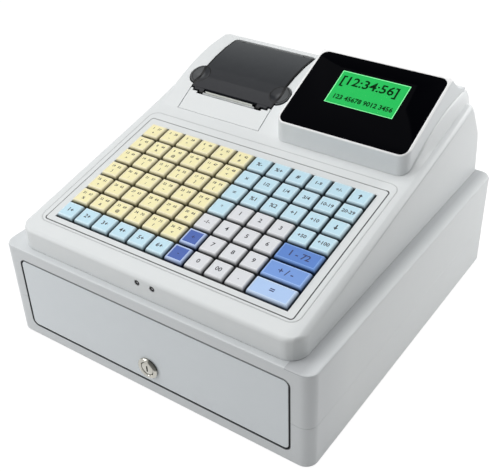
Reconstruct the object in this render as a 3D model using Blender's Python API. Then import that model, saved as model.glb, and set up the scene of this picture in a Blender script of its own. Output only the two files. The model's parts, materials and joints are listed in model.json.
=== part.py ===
"""Ticket register: a key-operated till with a cash drawer in its base, a ticket printer and a display.

Metres, +Z up, X to the right, -Y to the front. The origin is the middle of the foot plane, under the
middle of the register's whole depth. Heights are given above that plane.
"""

import math

import bmesh
import bpy
from mathutils import Matrix, Vector

# Whole register
CASE_WIDTH = 0.330
CASE_DEPTH = 0.3472
FRONT_Y = -CASE_DEPTH / 2
REAR_Y = CASE_DEPTH / 2
FOOT_HEIGHT = 0.002
WALL = 0.003
FIT = 0.0003
RUN = 0.0006

# Base: pan, cover and drawer opening
BASE_TOP = 0.102
BASE_PARTING = 0.046
BASE_CORNER = 0.0112
BASE_EDGE = 0.0025
OPENING_SIDE = 0.0193
OPENING_HALF = CASE_WIDTH / 2 - OPENING_SIDE
OPENING_RISE = 0.0112
OPENING_LOW = FOOT_HEIGHT + OPENING_RISE
OPENING_DROP = 0.0115
OPENING_HIGH = BASE_TOP - OPENING_DROP
OPENING_CORNER = 0.0062
FOOT_RADIUS = 0.009
FOOT_INSET_X = 0.026
FOOT_INSET_Y = 0.030
FOOT_PEG_RADIUS = 0.0025
POST_RADIUS = 0.004
POST_HEIGHT = 0.0057

# Runners, screwed to the base's side walls
RUNNER_WIDTH = 0.0222
RUNNER_HEIGHT = 0.009
RUNNER_SHEET = 0.0024
RUNNER_LIP = 0.0025
RUNNER_RISE = 0.0235
RUNNER_LOW = FOOT_HEIGHT + RUNNER_RISE
RUNNER_HIGH = RUNNER_LOW + RUNNER_HEIGHT
RUNNER_OUT = CASE_WIDTH / 2 - WALL - FIT
RUNNER_IN = RUNNER_OUT - RUNNER_WIDTH
RUNNER_SET_BACK = 0.0116
RUNNER_END_SPACE = 0.0236
RUNNER_FRONT = FRONT_Y + RUNNER_SET_BACK
RUNNER_REAR = REAR_Y - RUNNER_END_SPACE

# Drawer
FRONT_GAP = 0.0012
FRONT_HALF = OPENING_HALF - FRONT_GAP
FRONT_LOW = OPENING_LOW + FRONT_GAP
FRONT_HIGH = OPENING_HIGH - FRONT_GAP
FRONT_CORNER = OPENING_CORNER - FRONT_GAP
FRONT_EDGE = 0.0006
BOX_PLAY = 0.0015
BOX_HALF = RUNNER_IN - BOX_PLAY
BOX_RISE = 0.0033
BOX_LOW = OPENING_LOW + BOX_RISE
BOX_DROP = 0.0085
BOX_HIGH = OPENING_HIGH - BOX_DROP
BOX_WALL = 0.002
LOCK_SPACE = 0.0236
BOX_INNER_FRONT = FRONT_Y + LOCK_SPACE
REAR_SPACE = 0.0436
BOX_REAR = REAR_Y - REAR_SPACE
FLANGE_WIDTH = 0.0055
FLANGE_SHEET = 0.002
FLANGE_HALF = BOX_HALF + FLANGE_WIDTH
FLANGE_LOW = RUNNER_LOW + RUNNER_SHEET + RUN
FLANGE_HIGH = FLANGE_LOW + FLANGE_SHEET

# Cash tray and bill clips
TRAY_PLAY = 0.0015
TRAY_HALF = BOX_HALF - BOX_WALL - TRAY_PLAY
TRAY_FRONT = BOX_INNER_FRONT + BOX_WALL + TRAY_PLAY
TRAY_REAR = BOX_REAR - BOX_WALL - TRAY_PLAY
TRAY_LIFT = 0.0007
TRAY_LOW = BOX_LOW + BOX_WALL + TRAY_LIFT
TRAY_HEIGHT = 0.0408
TRAY_HIGH = TRAY_LOW + TRAY_HEIGHT
TRAY_WALL = 0.002
TRAY_FLOOR = 0.0025
COIN_DEPTH = 0.1125
TRAY_SPLIT = TRAY_FRONT + COIN_DEPTH
COIN_CUPS = 5
BILL_SLOTS = 4
CLIP_INSET = 0.008
CLIP_DROP = 0.0045
CLIP_AXIS_Y = TRAY_REAR - CLIP_INSET
CLIP_AXIS_Z = TRAY_HIGH - CLIP_DROP
CLIP_BARREL = 0.003
CLIP_PIN = 0.0014
CLIP_WIDTH = 0.022
CLIP_LENGTH = 0.078
CLIP_THICKNESS = 0.002
CLIP_PAD = 0.014
EAR_THICKNESS = 0.0025
EAR_RADIUS = 0.0032
PIN_PLAY = 0.0004

# Lock
LOCK_RISE = 0.016
LOCK_Z = FRONT_LOW + LOCK_RISE
LOCK_PROUD = 0.003
BEZEL_RADIUS = 0.0105
BEZEL_INNER = 0.0068
CORE_RADIUS = 0.0064
LOCK_DEPTH = 0.0158
CORE_REAR = FRONT_Y + LOCK_DEPTH
BARREL_RADIUS = 0.0088
KEYHOLE_WIDTH = 0.0016
KEYHOLE_HEIGHT = 0.0064
KEYHOLE_DEPTH = 0.004
CAM_REACH = 0.0205
CAM_WIDTH = 0.009
CAM_THICKNESS = 0.002
CAM_HUB = 0.0032

# Drawer latch and opening spring
HOOK_SPACE = 0.0176
HOOK_DROP = 0.038
HOOK_Y = REAR_Y - HOOK_SPACE
HOOK_Z = BASE_TOP - HOOK_DROP
STRIKER_HALF = 0.009
STRIKER_DROP = 0.006
STRIKER_HEIGHT = 0.026
STRIKER_HIGH = HOOK_Z - STRIKER_DROP
STRIKER_LOW = STRIKER_HIGH - STRIKER_HEIGHT
STRIKER_SHEET = 0.002
TONGUE_HALF = 0.006
TONGUE_RISE = 0.012
TONGUE_LOW = STRIKER_LOW + TONGUE_RISE
TONGUE_REACH = 0.0185
TONGUE_REAR = BOX_REAR + TONGUE_REACH
TONGUE_HEIGHT = 0.008
TONGUE_LIP = TONGUE_LOW + TONGUE_HEIGHT
HOOK_ARM = 0.019
HOOK_HEIGHT = 0.005
HOOK_NOSE = 0.0105
HOOK_NOSE_DEPTH = 0.005
HOOK_HALF = 0.004
HOOK_PIN = 0.002
CHEEK_IN = 0.0085
CHEEK_OUT = 0.0105
CHEEK_SPACE = 0.0071
CHEEK_DEPTH = 0.0165
CHEEK_REAR = REAR_Y - CHEEK_SPACE
CHEEK_FRONT = CHEEK_REAR - CHEEK_DEPTH
CHEEK_RISE = 0.005
CHEEK_TOP = HOOK_Z + CHEEK_RISE
LATCH_FOOT = 0.0025
COIL_HALF = 0.011
COIL_LOW = 0.012
COIL_HIGH = 0.044
COIL_SPACE = 0.0201
COIL_FRONT = REAR_Y - COIL_SPACE
SPRING_X = -0.060
SPRING_Z = 0.040
SPRING_RADIUS = 0.008
SPRING_WIRE = 0.0011
SPRING_TURNS = 6

# Console
CONSOLE_SIDE = 0.0166
CONSOLE_SET_BACK = 0.007
CONSOLE_HALF = CASE_WIDTH / 2 - CONSOLE_SIDE
CONSOLE_FRONT = FRONT_Y + CONSOLE_SET_BACK
CONSOLE_REAR = REAR_Y
CONSOLE_CORNER = 0.016
CONSOLE_EDGE = 0.006
CONSOLE_LIP = 0.0045
TIER_DEPTH = 0.1456
FRONT_RISE = 0.02065
PANEL_TILT = math.radians(11.12)
PANEL_Y = CONSOLE_REAR - TIER_DEPTH
PANEL_Z = BASE_TOP + FRONT_RISE + (PANEL_Y - CONSOLE_FRONT) * math.tan(PANEL_TILT)
TIER_RADIUS = 0.200
TIER_RISE = 0.0361
TIER_TOP = PANEL_Z + TIER_RISE
TIER_CREST = 0.118
TIER_Y = PANEL_Y + TIER_CREST
TIER_BLEND = 0.0009
SHOULDER_WIDTH = 0.0065
SHOULDER_INSET = 0.0059
SHOULDER_OUT = CONSOLE_HALF - SHOULDER_INSET
SHOULDER_IN = SHOULDER_OUT - SHOULDER_WIDTH
SHOULDER_RISE_SHARE = 0.236
REAR_LEAN = 0.0031
REAR_RISE = 0.030
REAR_BEND_Y = CONSOLE_REAR - REAR_LEAN
REAR_BEND_Z = BASE_TOP + REAR_RISE

# Where the top's outline has its points, as shares of the key panel's depth and of the depth behind it
PANEL_SHARES = (0.1624, 0.9075, 0.9692, 0.9949)
TIER_SHARES = (0.0206, 0.0481, 0.0962, 0.1511, 0.2129, 0.2885, 0.3777, 0.4808, 0.6044, 0.783)
TOP_STATIONS = tuple(CONSOLE_FRONT + (PANEL_Y - CONSOLE_FRONT) * share for share in PANEL_SHARES)
TOP_STATIONS += tuple(PANEL_Y + TIER_DEPTH * share for share in TIER_SHARES)
# The rounded top of the rear wall between the last of those points and the bend: each pair is a share of the
# way back and a share of the way up from the bend, in the middle of the console and at its lower shoulders
REAR_HIGH_SHARES = ((0.298, 0.962), (0.474, 0.862), (0.684, 0.615), (0.884, 0.308))
REAR_LOW_SHARES = ((-0.123, 0.846), (0.123, 0.8), (0.298, 0.692), (0.596, 0.462), (0.884, 0.246))

# Keyboard
KEY_COLUMNS = 12
KEY_ROWS = 7
BEZEL_SIDE = 0.0167
BEZEL_BORDER = 0.0055
BEZEL_REAR_SPACE = 0.01965
BEZEL_REAR_BORDER = 0.00485
BEZEL_FRONT_BORDER = 0.00365
PLATE_BORDER = 0.0026
PLATE_BORDER_S = 0.00305
PLATE_FRONT_SPACE = 0.0228
BEZEL_HALF = CONSOLE_HALF - BEZEL_SIDE
PLATE_HALF = BEZEL_HALF - BEZEL_BORDER
BEZEL_REAR_S = -BEZEL_REAR_SPACE
PLATE_REAR_S = BEZEL_REAR_S - BEZEL_REAR_BORDER
PLATE_FRONT_S = PLATE_FRONT_SPACE - (PANEL_Y - CONSOLE_FRONT) / math.cos(PANEL_TILT)
BEZEL_FRONT_S = PLATE_FRONT_S - BEZEL_FRONT_BORDER
KEY_PITCH_X = (PLATE_HALF - PLATE_BORDER) * 2 / KEY_COLUMNS
KEY_PITCH_S = (PLATE_REAR_S - PLATE_FRONT_S - PLATE_BORDER_S * 2) / KEY_ROWS
KEY_GAP_X = 0.0022
KEY_GAP_S = 0.0023
KEY_INSET_X = 0.0036
KEY_INSET_S = 0.00475
KEY_FIRST_X = KEY_INSET_X - PLATE_HALF
KEY_FIRST_S = PLATE_REAR_S - KEY_INSET_S
KEY_WIDTH = KEY_PITCH_X - KEY_GAP_X
KEY_DEPTH = KEY_PITCH_S - KEY_GAP_S
KEY_TAPER = 0.0015
KEY_TOP = 0.0031
KEY_HEIGHT = 0.0075
KEY_STEM = 0.006
KEY_STEM_END = -0.0135
PLATE_TOP = -0.0085
PLATE_THICKNESS = 0.002
PLATE_RIM = 0.0018
BEZEL_THICKNESS = 0.0015
BEZEL_LEDGE = 0.003
BEZEL_CORNER = 0.003
WINDOW_GAP = 0.0014

# Printer
COVER_HALF = 0.0485
PRINTER_SIDE = 0.0794
PRINTER_X = PRINTER_SIDE - CONSOLE_HALF
FLUSH_START = 0.0038
FLUSH_DEPTH = 0.0192
FLUSH_THICKNESS = 0.0014
FLUSH_LEDGE = 0.004
PLATE_FRONT_Y = PANEL_Y + FLUSH_START
PLATE_REAR_Y = PLATE_FRONT_Y + FLUSH_DEPTH
COVER_SPACE = 0.0056
COVER_LENGTH = 0.0769
COVER_FRONT = PLATE_REAR_Y + COVER_SPACE
COVER_PROUD = 0.001
COVER_THICKNESS = 0.0024
EAR_SET_BACK = 0.0154
EAR_INSET = 0.001
EAR_DEPTH = 0.0026
COVER_EAR_Y = COVER_FRONT + EAR_SET_BACK
COVER_EAR_RADIUS = 0.0112
SCOOP_WIDTH = 0.0008
SCOOP_DEPTH = 0.0039
SCOOP_RADIUS = COVER_EAR_RADIUS + SCOOP_WIDTH
HINGE_Y = COVER_FRONT + COVER_LENGTH
HINGE_RADIUS = 0.0055
HINGE_SIDE = 0.012
HINGE_FIN = COVER_HALF - HINGE_SIDE
FIN_THICKNESS = 0.0025
HINGE_PIN = 0.0016
BUCKET_SIDE = 0.002
BUCKET_HALF = COVER_HALF - BUCKET_SIDE
BUCKET_WALL = 0.002
BUCKET_DROP = 0.0169
BUCKET_LOW = PANEL_Z - BUCKET_DROP
BUCKET_SET_BACK = 0.0074
BUCKET_FRONT = COVER_FRONT + BUCKET_SET_BACK
LIP_RISE = 0.012
BUCKET_LIP = BUCKET_LOW + LIP_RISE
NOSE_REACH = 0.0055
BUCKET_NOSE = PLATE_REAR_Y - NOSE_REACH
HEAD_RISE = 0.019
HEAD_SEAT = BUCKET_LOW + HEAD_RISE
PLATEN_SET_BACK = 0.0039
PLATEN_RISE = 0.0035
PLATEN_Y = COVER_FRONT + PLATEN_SET_BACK
PLATEN_Z = HEAD_SEAT + PLATEN_RISE
PLATEN_RADIUS = 0.0045
PLATEN_HALF = 0.029
PLATEN_SHAFT = 0.002
LUG_THICKNESS = 0.0025
LUG_RADIUS = 0.0038
ROLL_SET_BACK = 0.0434
ROLL_RISE = 0.0228
ROLL_Y = COVER_FRONT + ROLL_SET_BACK
ROLL_Z = BUCKET_LOW + ROLL_RISE
ROLL_RADIUS = 0.0195
ROLL_CORE = 0.006
ROLL_HALF = 0.0285
PAPER = 0.0003
HEAD_SPACE = 0.006
HEAD_REAR = PLATEN_Y - HEAD_SPACE
HEAD_DEPTH = 0.005
HEAD_HEIGHT = 0.0055
TEAR_DEPTH = 0.0008
EXIT_SPACE = 0.0078
BEND_SPACE = 0.0059
BEND_RISE = 0.003
PAPER_EXIT_Y = PLATEN_Y - EXIT_SPACE
PAPER_BEND_Y = PLATEN_Y - BEND_SPACE
PAPER_BEND_Z = PLATEN_Z + BEND_RISE
TEAR_PROUD = 0.0012
SLOT_HALF = 0.031

# The three teeth at each end of the cover's front edge and the steps of the flush plate behind them: shares
# of the cover's half width and of the space between the plate and the cover
TOOTH_SHARES = (
    (0.656, 0.15), (0.664, -0.75), (0.742, -0.82), (0.77, -0.38),
    (0.89, -0.46), (0.915, -0.02), (1, -0.08), (1, 0.15),
)
STEP_SHARES = ((0.8, 0), (0.8, 0.37), (0.935, 0.37), (0.935, 1.2))
STEP_END_SHARE = 0.78
TOOTH_PROUD = 0.0007
TOOTH_SUNK = 0.0006

# Display
POD_SPACE = 0.02125
POD_SIDE = 0.0125
POD_START = 0.0004
POD_DEPTH = 0.1186
POD_LEFT = PRINTER_X + COVER_HALF + POD_SPACE
POD_RIGHT = CONSOLE_HALF - POD_SIDE
POD_FRONT = PANEL_Y + POD_START
POD_REAR = POD_FRONT + POD_DEPTH
POD_CORNER = 0.010
POD_EDGE = 0.002
POD_WALL = 0.0025
POD_CREST = 0.0861
POD_TOP_Y = POD_FRONT + POD_CREST
RIM_RISE = 0.021
POD_RIM_Z = PANEL_Z + RIM_RISE
GLASS_TILT = math.radians(24)
GLASS_BORDER = 0.00285
GLASS_WIDTH = POD_RIGHT - POD_LEFT - GLASS_BORDER * 2
GLASS_END = 0.00147
GLASS_HEIGHT = POD_CREST / math.cos(GLASS_TILT) - GLASS_END * 2
GLASS_CORNER = 0.0075
GLASS_THICKNESS = 0.0018
GLASS_LEDGE = 0.004
LCD_SIDE = 0.025725
LCD_END = 0.02165
LCD_WIDTH = GLASS_WIDTH - LCD_SIDE * 2
LCD_HEIGHT = GLASS_HEIGHT - LCD_END * 2
LCD_THICKNESS = 0.006
LCD_SHIFT_S = 0.0078

# Lamps, board and power
LAMP_X = 0.008
LAMP_RISE = 0.014
LAMP_Z = BASE_TOP + LAMP_RISE
LAMP_RADIUS = 0.0026
LAMP_FLANGE = 0.0029
BOARD_SIDE = 0.0284
BOARD_DEPTH = 0.130
BOARD_REAR_SPACE = 0.0336
BOARD_HALF = CONSOLE_HALF - BOARD_SIDE
BOARD_REAR = CONSOLE_REAR - BOARD_REAR_SPACE
BOARD_FRONT = BOARD_REAR - BOARD_DEPTH
BOARD_THICKNESS = 0.0016
INLET_SIDE = 0.0634
INLET_RISE = 0.016
INLET_X = CONSOLE_HALF - INLET_SIDE
INLET_Z = BASE_TOP + INLET_RISE
INLET_HALF_X = 0.026
INLET_HALF_Z = 0.0115
INLET_DEPTH = 0.020
ROCKER_HALF_X = 0.0085
ROCKER_HALF_Z = 0.0062
ROCKER_SWING = math.radians(16)

# The board's chips, relay and transformer: the left front corner and the size of each, as shares of the
# board's half width and depth, and the height as a share of the posts' height
COMPONENT_SHARES = (
    (-0.4167, 0.3846, 0.25, 0.2308, 0.88), (0, 0.5385, 0.3333, 0.1538, 1.06),
    (0.5, 0.3077, 0.1667, 0.3077, 2.46), (-0.75, 0.1538, 0.1667, 0.1538, 3.16),
    (0.2083, 0.0769, 0.25, 0.1923, 0.7),
)

# Middle of the whole depth, lock included
SHIFT_Y = LOCK_PROUD / 2
ROUND_STEPS = 6


def material(name, colour, roughness, metallic=0):
    mat = bpy.data.materials.get(name) or bpy.data.materials.new(name)
    mat.use_nodes = True
    shader = mat.node_tree.nodes["Principled BSDF"]
    shader.inputs["Base Color"].default_value = (*colour, 1)
    shader.inputs["Roughness"].default_value = roughness
    shader.inputs["Metallic"].default_value = metallic
    return mat


def housing():
    return material("housing plastic", (0.80, 0.82, 0.82), 0.45)


def dark():
    return material("dark plastic", (0.05, 0.055, 0.06), 0.35)


def steel():
    return material("bright steel", (0.62, 0.63, 0.64), 0.3, 1)


def black():
    return material("black plastic", (0.02, 0.02, 0.02), 0.5)


def solid(name, bm, mat, origin=(0, 0, 0)):
    """An object from a closed mesh, with its origin at the given place."""
    bmesh.ops.remove_doubles(bm, verts=bm.verts, dist=1e-7)
    bmesh.ops.recalc_face_normals(bm, faces=bm.faces)
    if bm.calc_volume(signed=True) < 0:
        bmesh.ops.reverse_faces(bm, faces=bm.faces)
    bmesh.ops.translate(bm, verts=bm.verts, vec=-Vector(origin))
    mesh = bpy.data.meshes.new(name)
    bm.to_mesh(mesh)
    bm.free()
    obj = bpy.data.objects.new(name, mesh)
    obj.location = Vector(origin)
    bpy.context.scene.collection.objects.link(obj)
    if mat:
        mesh.materials.append(mat)
    return obj


def tool(name, bm):
    """A cutter or an added shape: used by a Boolean, and never part of the object itself."""
    obj = solid(name, bm, None)
    obj.hide_render = True
    obj.display_type = "WIRE"
    return obj


def combine(target, other, operation):
    mod = target.modifiers.new(operation.lower(), "BOOLEAN")
    mod.operation = operation
    mod.object = other


def cut(target, *cutters):
    for index, bm in enumerate(cutters):
        combine(target, tool(f"{target.name} cutter {index}", bm), "DIFFERENCE")


def join(target, *shapes):
    for index, bm in enumerate(shapes):
        combine(target, tool(f"{target.name} boss {index}", bm), "UNION")


def box(x0, x1, y0, y1, z0, z1, bm=None):
    bm = bm or bmesh.new()
    made = bmesh.ops.create_cube(bm, size=1)["verts"]
    size = Vector((x1 - x0, y1 - y0, z1 - z0))
    middle = Vector((x0 + x1, y0 + y1, z0 + z1)) / 2
    for vert in made:
        vert.co = Vector(a * b for a, b in zip(vert.co, size)) + middle
    return bm


def loft(rings, bm=None):
    """A closed body through rings of the same number of points, capped at both ends."""
    bm = bm or bmesh.new()
    loops = [[bm.verts.new(point) for point in ring] for ring in rings]
    for low, high in zip(loops, loops[1:]):
        for i in range(len(low)):
            j = (i + 1) % len(low)
            bm.faces.new((low[i], low[j], high[j], high[i]))
    bm.faces.new(loops[0][::-1])
    bm.faces.new(loops[-1])
    return bm


def round_rect(x0, x1, y0, y1, radius, steps=ROUND_STEPS):
    points = []
    for cx, cy, start in (
        (x1 - radius, y1 - radius, 0),
        (x0 + radius, y1 - radius, 1),
        (x0 + radius, y0 + radius, 2),
        (x1 - radius, y0 + radius, 3),
    ):
        for i in range(steps + 1):
            angle = math.pi / 2 * (start + i / steps)
            points.append((cx + radius * math.cos(angle), cy + radius * math.sin(angle)))
    return points


def slab(outline, z0, z1, bm=None):
    return loft([[(x, y, z) for x, y in outline] for z in (z0, z1)], bm)


def front_slab(outline, y0, y1, bm=None):
    """An outline in X and Z, carried through from y0 to y1."""
    return loft([[(x, y, z) for x, z in outline] for y in (y0, y1)], bm)


def side_slab(outline, x0, x1, bm=None):
    """An outline in Y and Z, carried through from x0 to x1."""
    return loft([[(x, y, z) for y, z in outline] for x in (x0, x1)], bm)


def circle(cx, cy, radius, steps=16):
    return [
        (cx + radius * math.cos(math.tau * i / steps), cy + radius * math.sin(math.tau * i / steps))
        for i in range(steps)
    ]


def arc(cx, cy, radius, start, end, steps=8):
    turns = [start + (end - start) * i / steps for i in range(steps + 1)]
    return [(cx + radius * math.cos(turn), cy + radius * math.sin(turn)) for turn in turns]


def slope(x, s, n):
    """A point on the sloping panel: x across, s up the slope from its rear edge, n out of it."""
    c, t = math.cos(PANEL_TILT), math.sin(PANEL_TILT)
    return (x, PANEL_Y + s * c - n * t, PANEL_Z + s * t + n * c)


def slope_slab(outline, n0, n1, bm=None):
    return loft([[slope(x, s, n) for x, s in outline] for n in (n0, n1)], bm)


def rect(x0, x1, y0, y1):
    return [(x1, y1), (x0, y1), (x0, y0), (x1, y0)]


def panel_z(y):
    return PANEL_Z + (y - PANEL_Y) * math.tan(PANEL_TILT)


def tier_arc(y):
    """The console's top: the panel's slope, which runs into a rising arc behind the keyboard."""
    plane = panel_z(y)
    reach = min(max(0, TIER_Y - y), TIER_RADIUS)
    arc = TIER_TOP - TIER_RADIUS + math.sqrt(TIER_RADIUS**2 - reach**2)
    half = (arc - plane) / 2
    return (arc + plane) / 2 + math.sqrt(half**2 + TIER_BLEND**2)


def tier_z(y):
    """The same top, flat between the console's stations, so that what lies on it fits it."""
    for y0, y1 in zip(TOP_STATIONS, TOP_STATIONS[1:]):
        if y <= y1:
            share = (y - y0) / (y1 - y0)
            return tier_arc(y0) * (1 - share) + tier_arc(y1) * share
    return tier_arc(TOP_STATIONS[-1])


def shoulder_z(y):
    return PANEL_Z + max(0, y - PANEL_Y) * SHOULDER_RISE_SHARE if y > PANEL_Y else panel_z(y)


def ease(t):
    t = min(1, max(0, t))
    return t * t * (3 - 2 * t)


def offset_line(points, distance):
    """An open line of (y, z) points moved inwards, to the right of its direction."""
    moved = []
    for i, (y, z) in enumerate(points):
        before = Vector(points[i]) - Vector(points[i - 1]) if i else None
        after = Vector(points[i + 1]) - Vector(points[i]) if i + 1 < len(points) else None
        sides = [Vector((d.y, -d.x)).normalized() for d in (before, after) if d]
        normal = sum(sides, Vector((0, 0))).normalized()
        reach = distance / max(0.5, normal.dot(sides[0]))
        moved.append((y + normal.x * reach, z + normal.y * reach))
    return moved


def rear_round(back, up):
    """A point of the rear wall's rounded top from its two shares."""
    start = TOP_STATIONS[-1]
    return (start + (REAR_BEND_Y - start) * back, REAR_BEND_Z + (TIER_TOP - REAR_BEND_Z) * up)


def console_line(x, inset):
    """The console's outline in Y and Z at one place across, from its front foot to its rear foot."""
    u = abs(x)
    half = CONSOLE_HALF - inset
    edge = CONSOLE_EDGE - inset
    corner = CONSOLE_CORNER - inset
    over = max(0, u - (half - edge))
    drop = edge - math.sqrt(max(0, edge**2 - over**2))
    over = max(0, u - (half - corner))
    front = CONSOLE_FRONT + inset + corner - math.sqrt(max(0, corner**2 - over**2))
    share = ease((u - SHOULDER_IN) / (SHOULDER_OUT - SHOULDER_IN))
    foot = BASE_TOP + FIT
    top = []
    for y in TOP_STATIONS[:-1]:
        top.append((y, tier_z(y) * (1 - share) + shoulder_z(y) * share))
    end = TOP_STATIONS[-1]
    high = [(end, tier_z(end))] + [rear_round(back, up) for back, up in REAR_HIGH_SHARES]
    low = [rear_round(back, up) for back, up in REAR_LOW_SHARES]
    for (y0, z0), (y1, z1) in zip(high, low):
        top.append((y0 * (1 - share) + y1 * share, z0 * (1 - share) + z1 * share))
    top += [(REAR_BEND_Y, REAR_BEND_Z), (CONSOLE_REAR, foot)]
    top = offset_line(top, inset + drop)
    top[-1] = (top[-1][0], foot)
    lip = max(CONSOLE_LIP - inset, CONSOLE_LIP / 3)
    middle_y = front + lip
    drop_z = (inset + drop + lip) / math.cos(PANEL_TILT)
    middle_z = panel_z(middle_y) - drop_z
    line = [(front, foot)]
    for i in range(5):
        angle = math.pi - (math.pi / 2 - PANEL_TILT) * i / 4
        line.append((middle_y + lip * math.cos(angle), middle_z + lip * math.sin(angle)))
    return line + top


def console_body(inset):
    half = CONSOLE_HALF - inset
    corner = CONSOLE_CORNER - inset
    places = [half - corner * (1 - math.sin(math.pi / 2 * i / 5)) for i in range(6)]
    places += [SHOULDER_IN, (SHOULDER_IN + SHOULDER_OUT) / 2, SHOULDER_OUT]
    places = sorted(places)
    whole = [-x for x in reversed(places)] + places
    return loft([[(x, y, z) for y, z in console_line(x, inset)] for x in whole])


def top_slab(x0, x1, y0, y1, above, below):
    """A plate that follows the tier's curve, between two heights above and below it."""
    ys = [y0] + [y for y in TOP_STATIONS if y0 < y < y1] + [y1]
    line = [(y, tier_z(y) + above) for y in ys] + [(y, tier_z(y) - below) for y in reversed(ys)]
    return side_slab(line, x0, x1)


def on_tier(points, above, below, bm=None):
    """A plate of any outline between two heights above and below the tier's curve."""
    return loft([[(x, y, tier_z(y) + part) for x, y in points] for part in (-below, above)], bm)


def stepped(side, shares, from_y, depth):
    """An outline from shares of the cover's half width and of the space in front of the cover."""
    points = [(PRINTER_X + side * COVER_HALF * x, from_y + depth * y) for x, y in shares]
    return points[::side]


def hinge_z():
    return tier_z(HINGE_Y) + COVER_PROUD - HINGE_RADIUS


def make_console():
    case = solid("console_case", console_body(0), housing())
    inner = console_body(WALL)
    for vert in inner.verts:
        if vert.co.z < BASE_TOP + FIT * 2:
            vert.co.z = BASE_TOP - WALL
    bezel = round_rect(-BEZEL_HALF, BEZEL_HALF, BEZEL_FRONT_S, BEZEL_REAR_S, BEZEL_CORNER, 3)
    seat = slope_slab(bezel, -BEZEL_THICKNESS - FIT, WALL)
    ledge = BEZEL_LEDGE
    hole = slope_slab(
        rect(-BEZEL_HALF + ledge, BEZEL_HALF - ledge, BEZEL_FRONT_S + ledge, BEZEL_REAR_S - ledge),
        -WALL * 4,
        WALL,
    )
    x0, x1 = PRINTER_X - BUCKET_HALF - FIT, PRINTER_X + BUCKET_HALF + FIT
    bay = box(x0, x1, PLATE_FRONT_Y + FLUSH_LEDGE, HINGE_Y + HINGE_RADIUS, BUCKET_LOW, TIER_TOP * 1.2)
    plate_seat = top_slab(
        PRINTER_X - COVER_HALF - RUN,
        PRINTER_X + COVER_HALF + RUN,
        PLATE_FRONT_Y,
        COVER_FRONT + RUN,
        WALL,
        FLUSH_THICKNESS + FIT,
    )
    cover_seat = top_slab(
        PRINTER_X - COVER_HALF - RUN,
        PRINTER_X + COVER_HALF + RUN,
        COVER_FRONT - RUN,
        HINGE_Y + RUN,
        WALL * 3,
        COVER_THICKNESS - COVER_PROUD + RUN,
    )
    scoops = bmesh.new()
    for side in (-1, 1):
        x = PRINTER_X + side * (COVER_HALF - EAR_INSET)
        low = tier_z(COVER_EAR_Y) - SCOOP_DEPTH
        rings = []
        for z, grow in ((low, 0), (low + WALL * 4, WALL / 2)):
            points = circle(x, COVER_EAR_Y, SCOOP_RADIUS + grow, 20)
            rings.append([(px, py, z + (py - COVER_EAR_Y) * 0.38) for px, py in points])
        loft(rings, scoops)
    trough = side_slab(
        circle(HINGE_Y, hinge_z(), HINGE_RADIUS + RUN * 1.5, 20),
        PRINTER_X - COVER_HALF - RUN,
        PRINTER_X + COVER_HALF + RUN,
    )
    pod = box(
        POD_LEFT + POD_WALL * 4, POD_RIGHT - POD_WALL * 4, POD_FRONT + POD_WALL * 4, POD_REAR - POD_WALL * 8,
        PANEL_Z - WALL * 4, TIER_TOP * 1.2,
    )
    lamps = bmesh.new()
    for side in (-1, 1):
        ring = circle(side * LAMP_X, LAMP_Z, LAMP_RADIUS + FIT, 12)
        front_slab(ring, CONSOLE_FRONT - WALL, CONSOLE_FRONT + WALL * 2, lamps)
    x0, x1 = INLET_X - INLET_HALF_X - FIT, INLET_X + INLET_HALF_X + FIT
    z0, z1 = INLET_Z - INLET_HALF_Z - FIT, INLET_Z + INLET_HALF_Z + FIT
    inlet = box(x0, x1, CONSOLE_REAR - WALL * 4, CONSOLE_REAR + WALL, z0, z1)
    cut(case, inner, seat, hole, bay, plate_seat, cover_seat, scoops, trough, pod, lamps, inlet)


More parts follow.
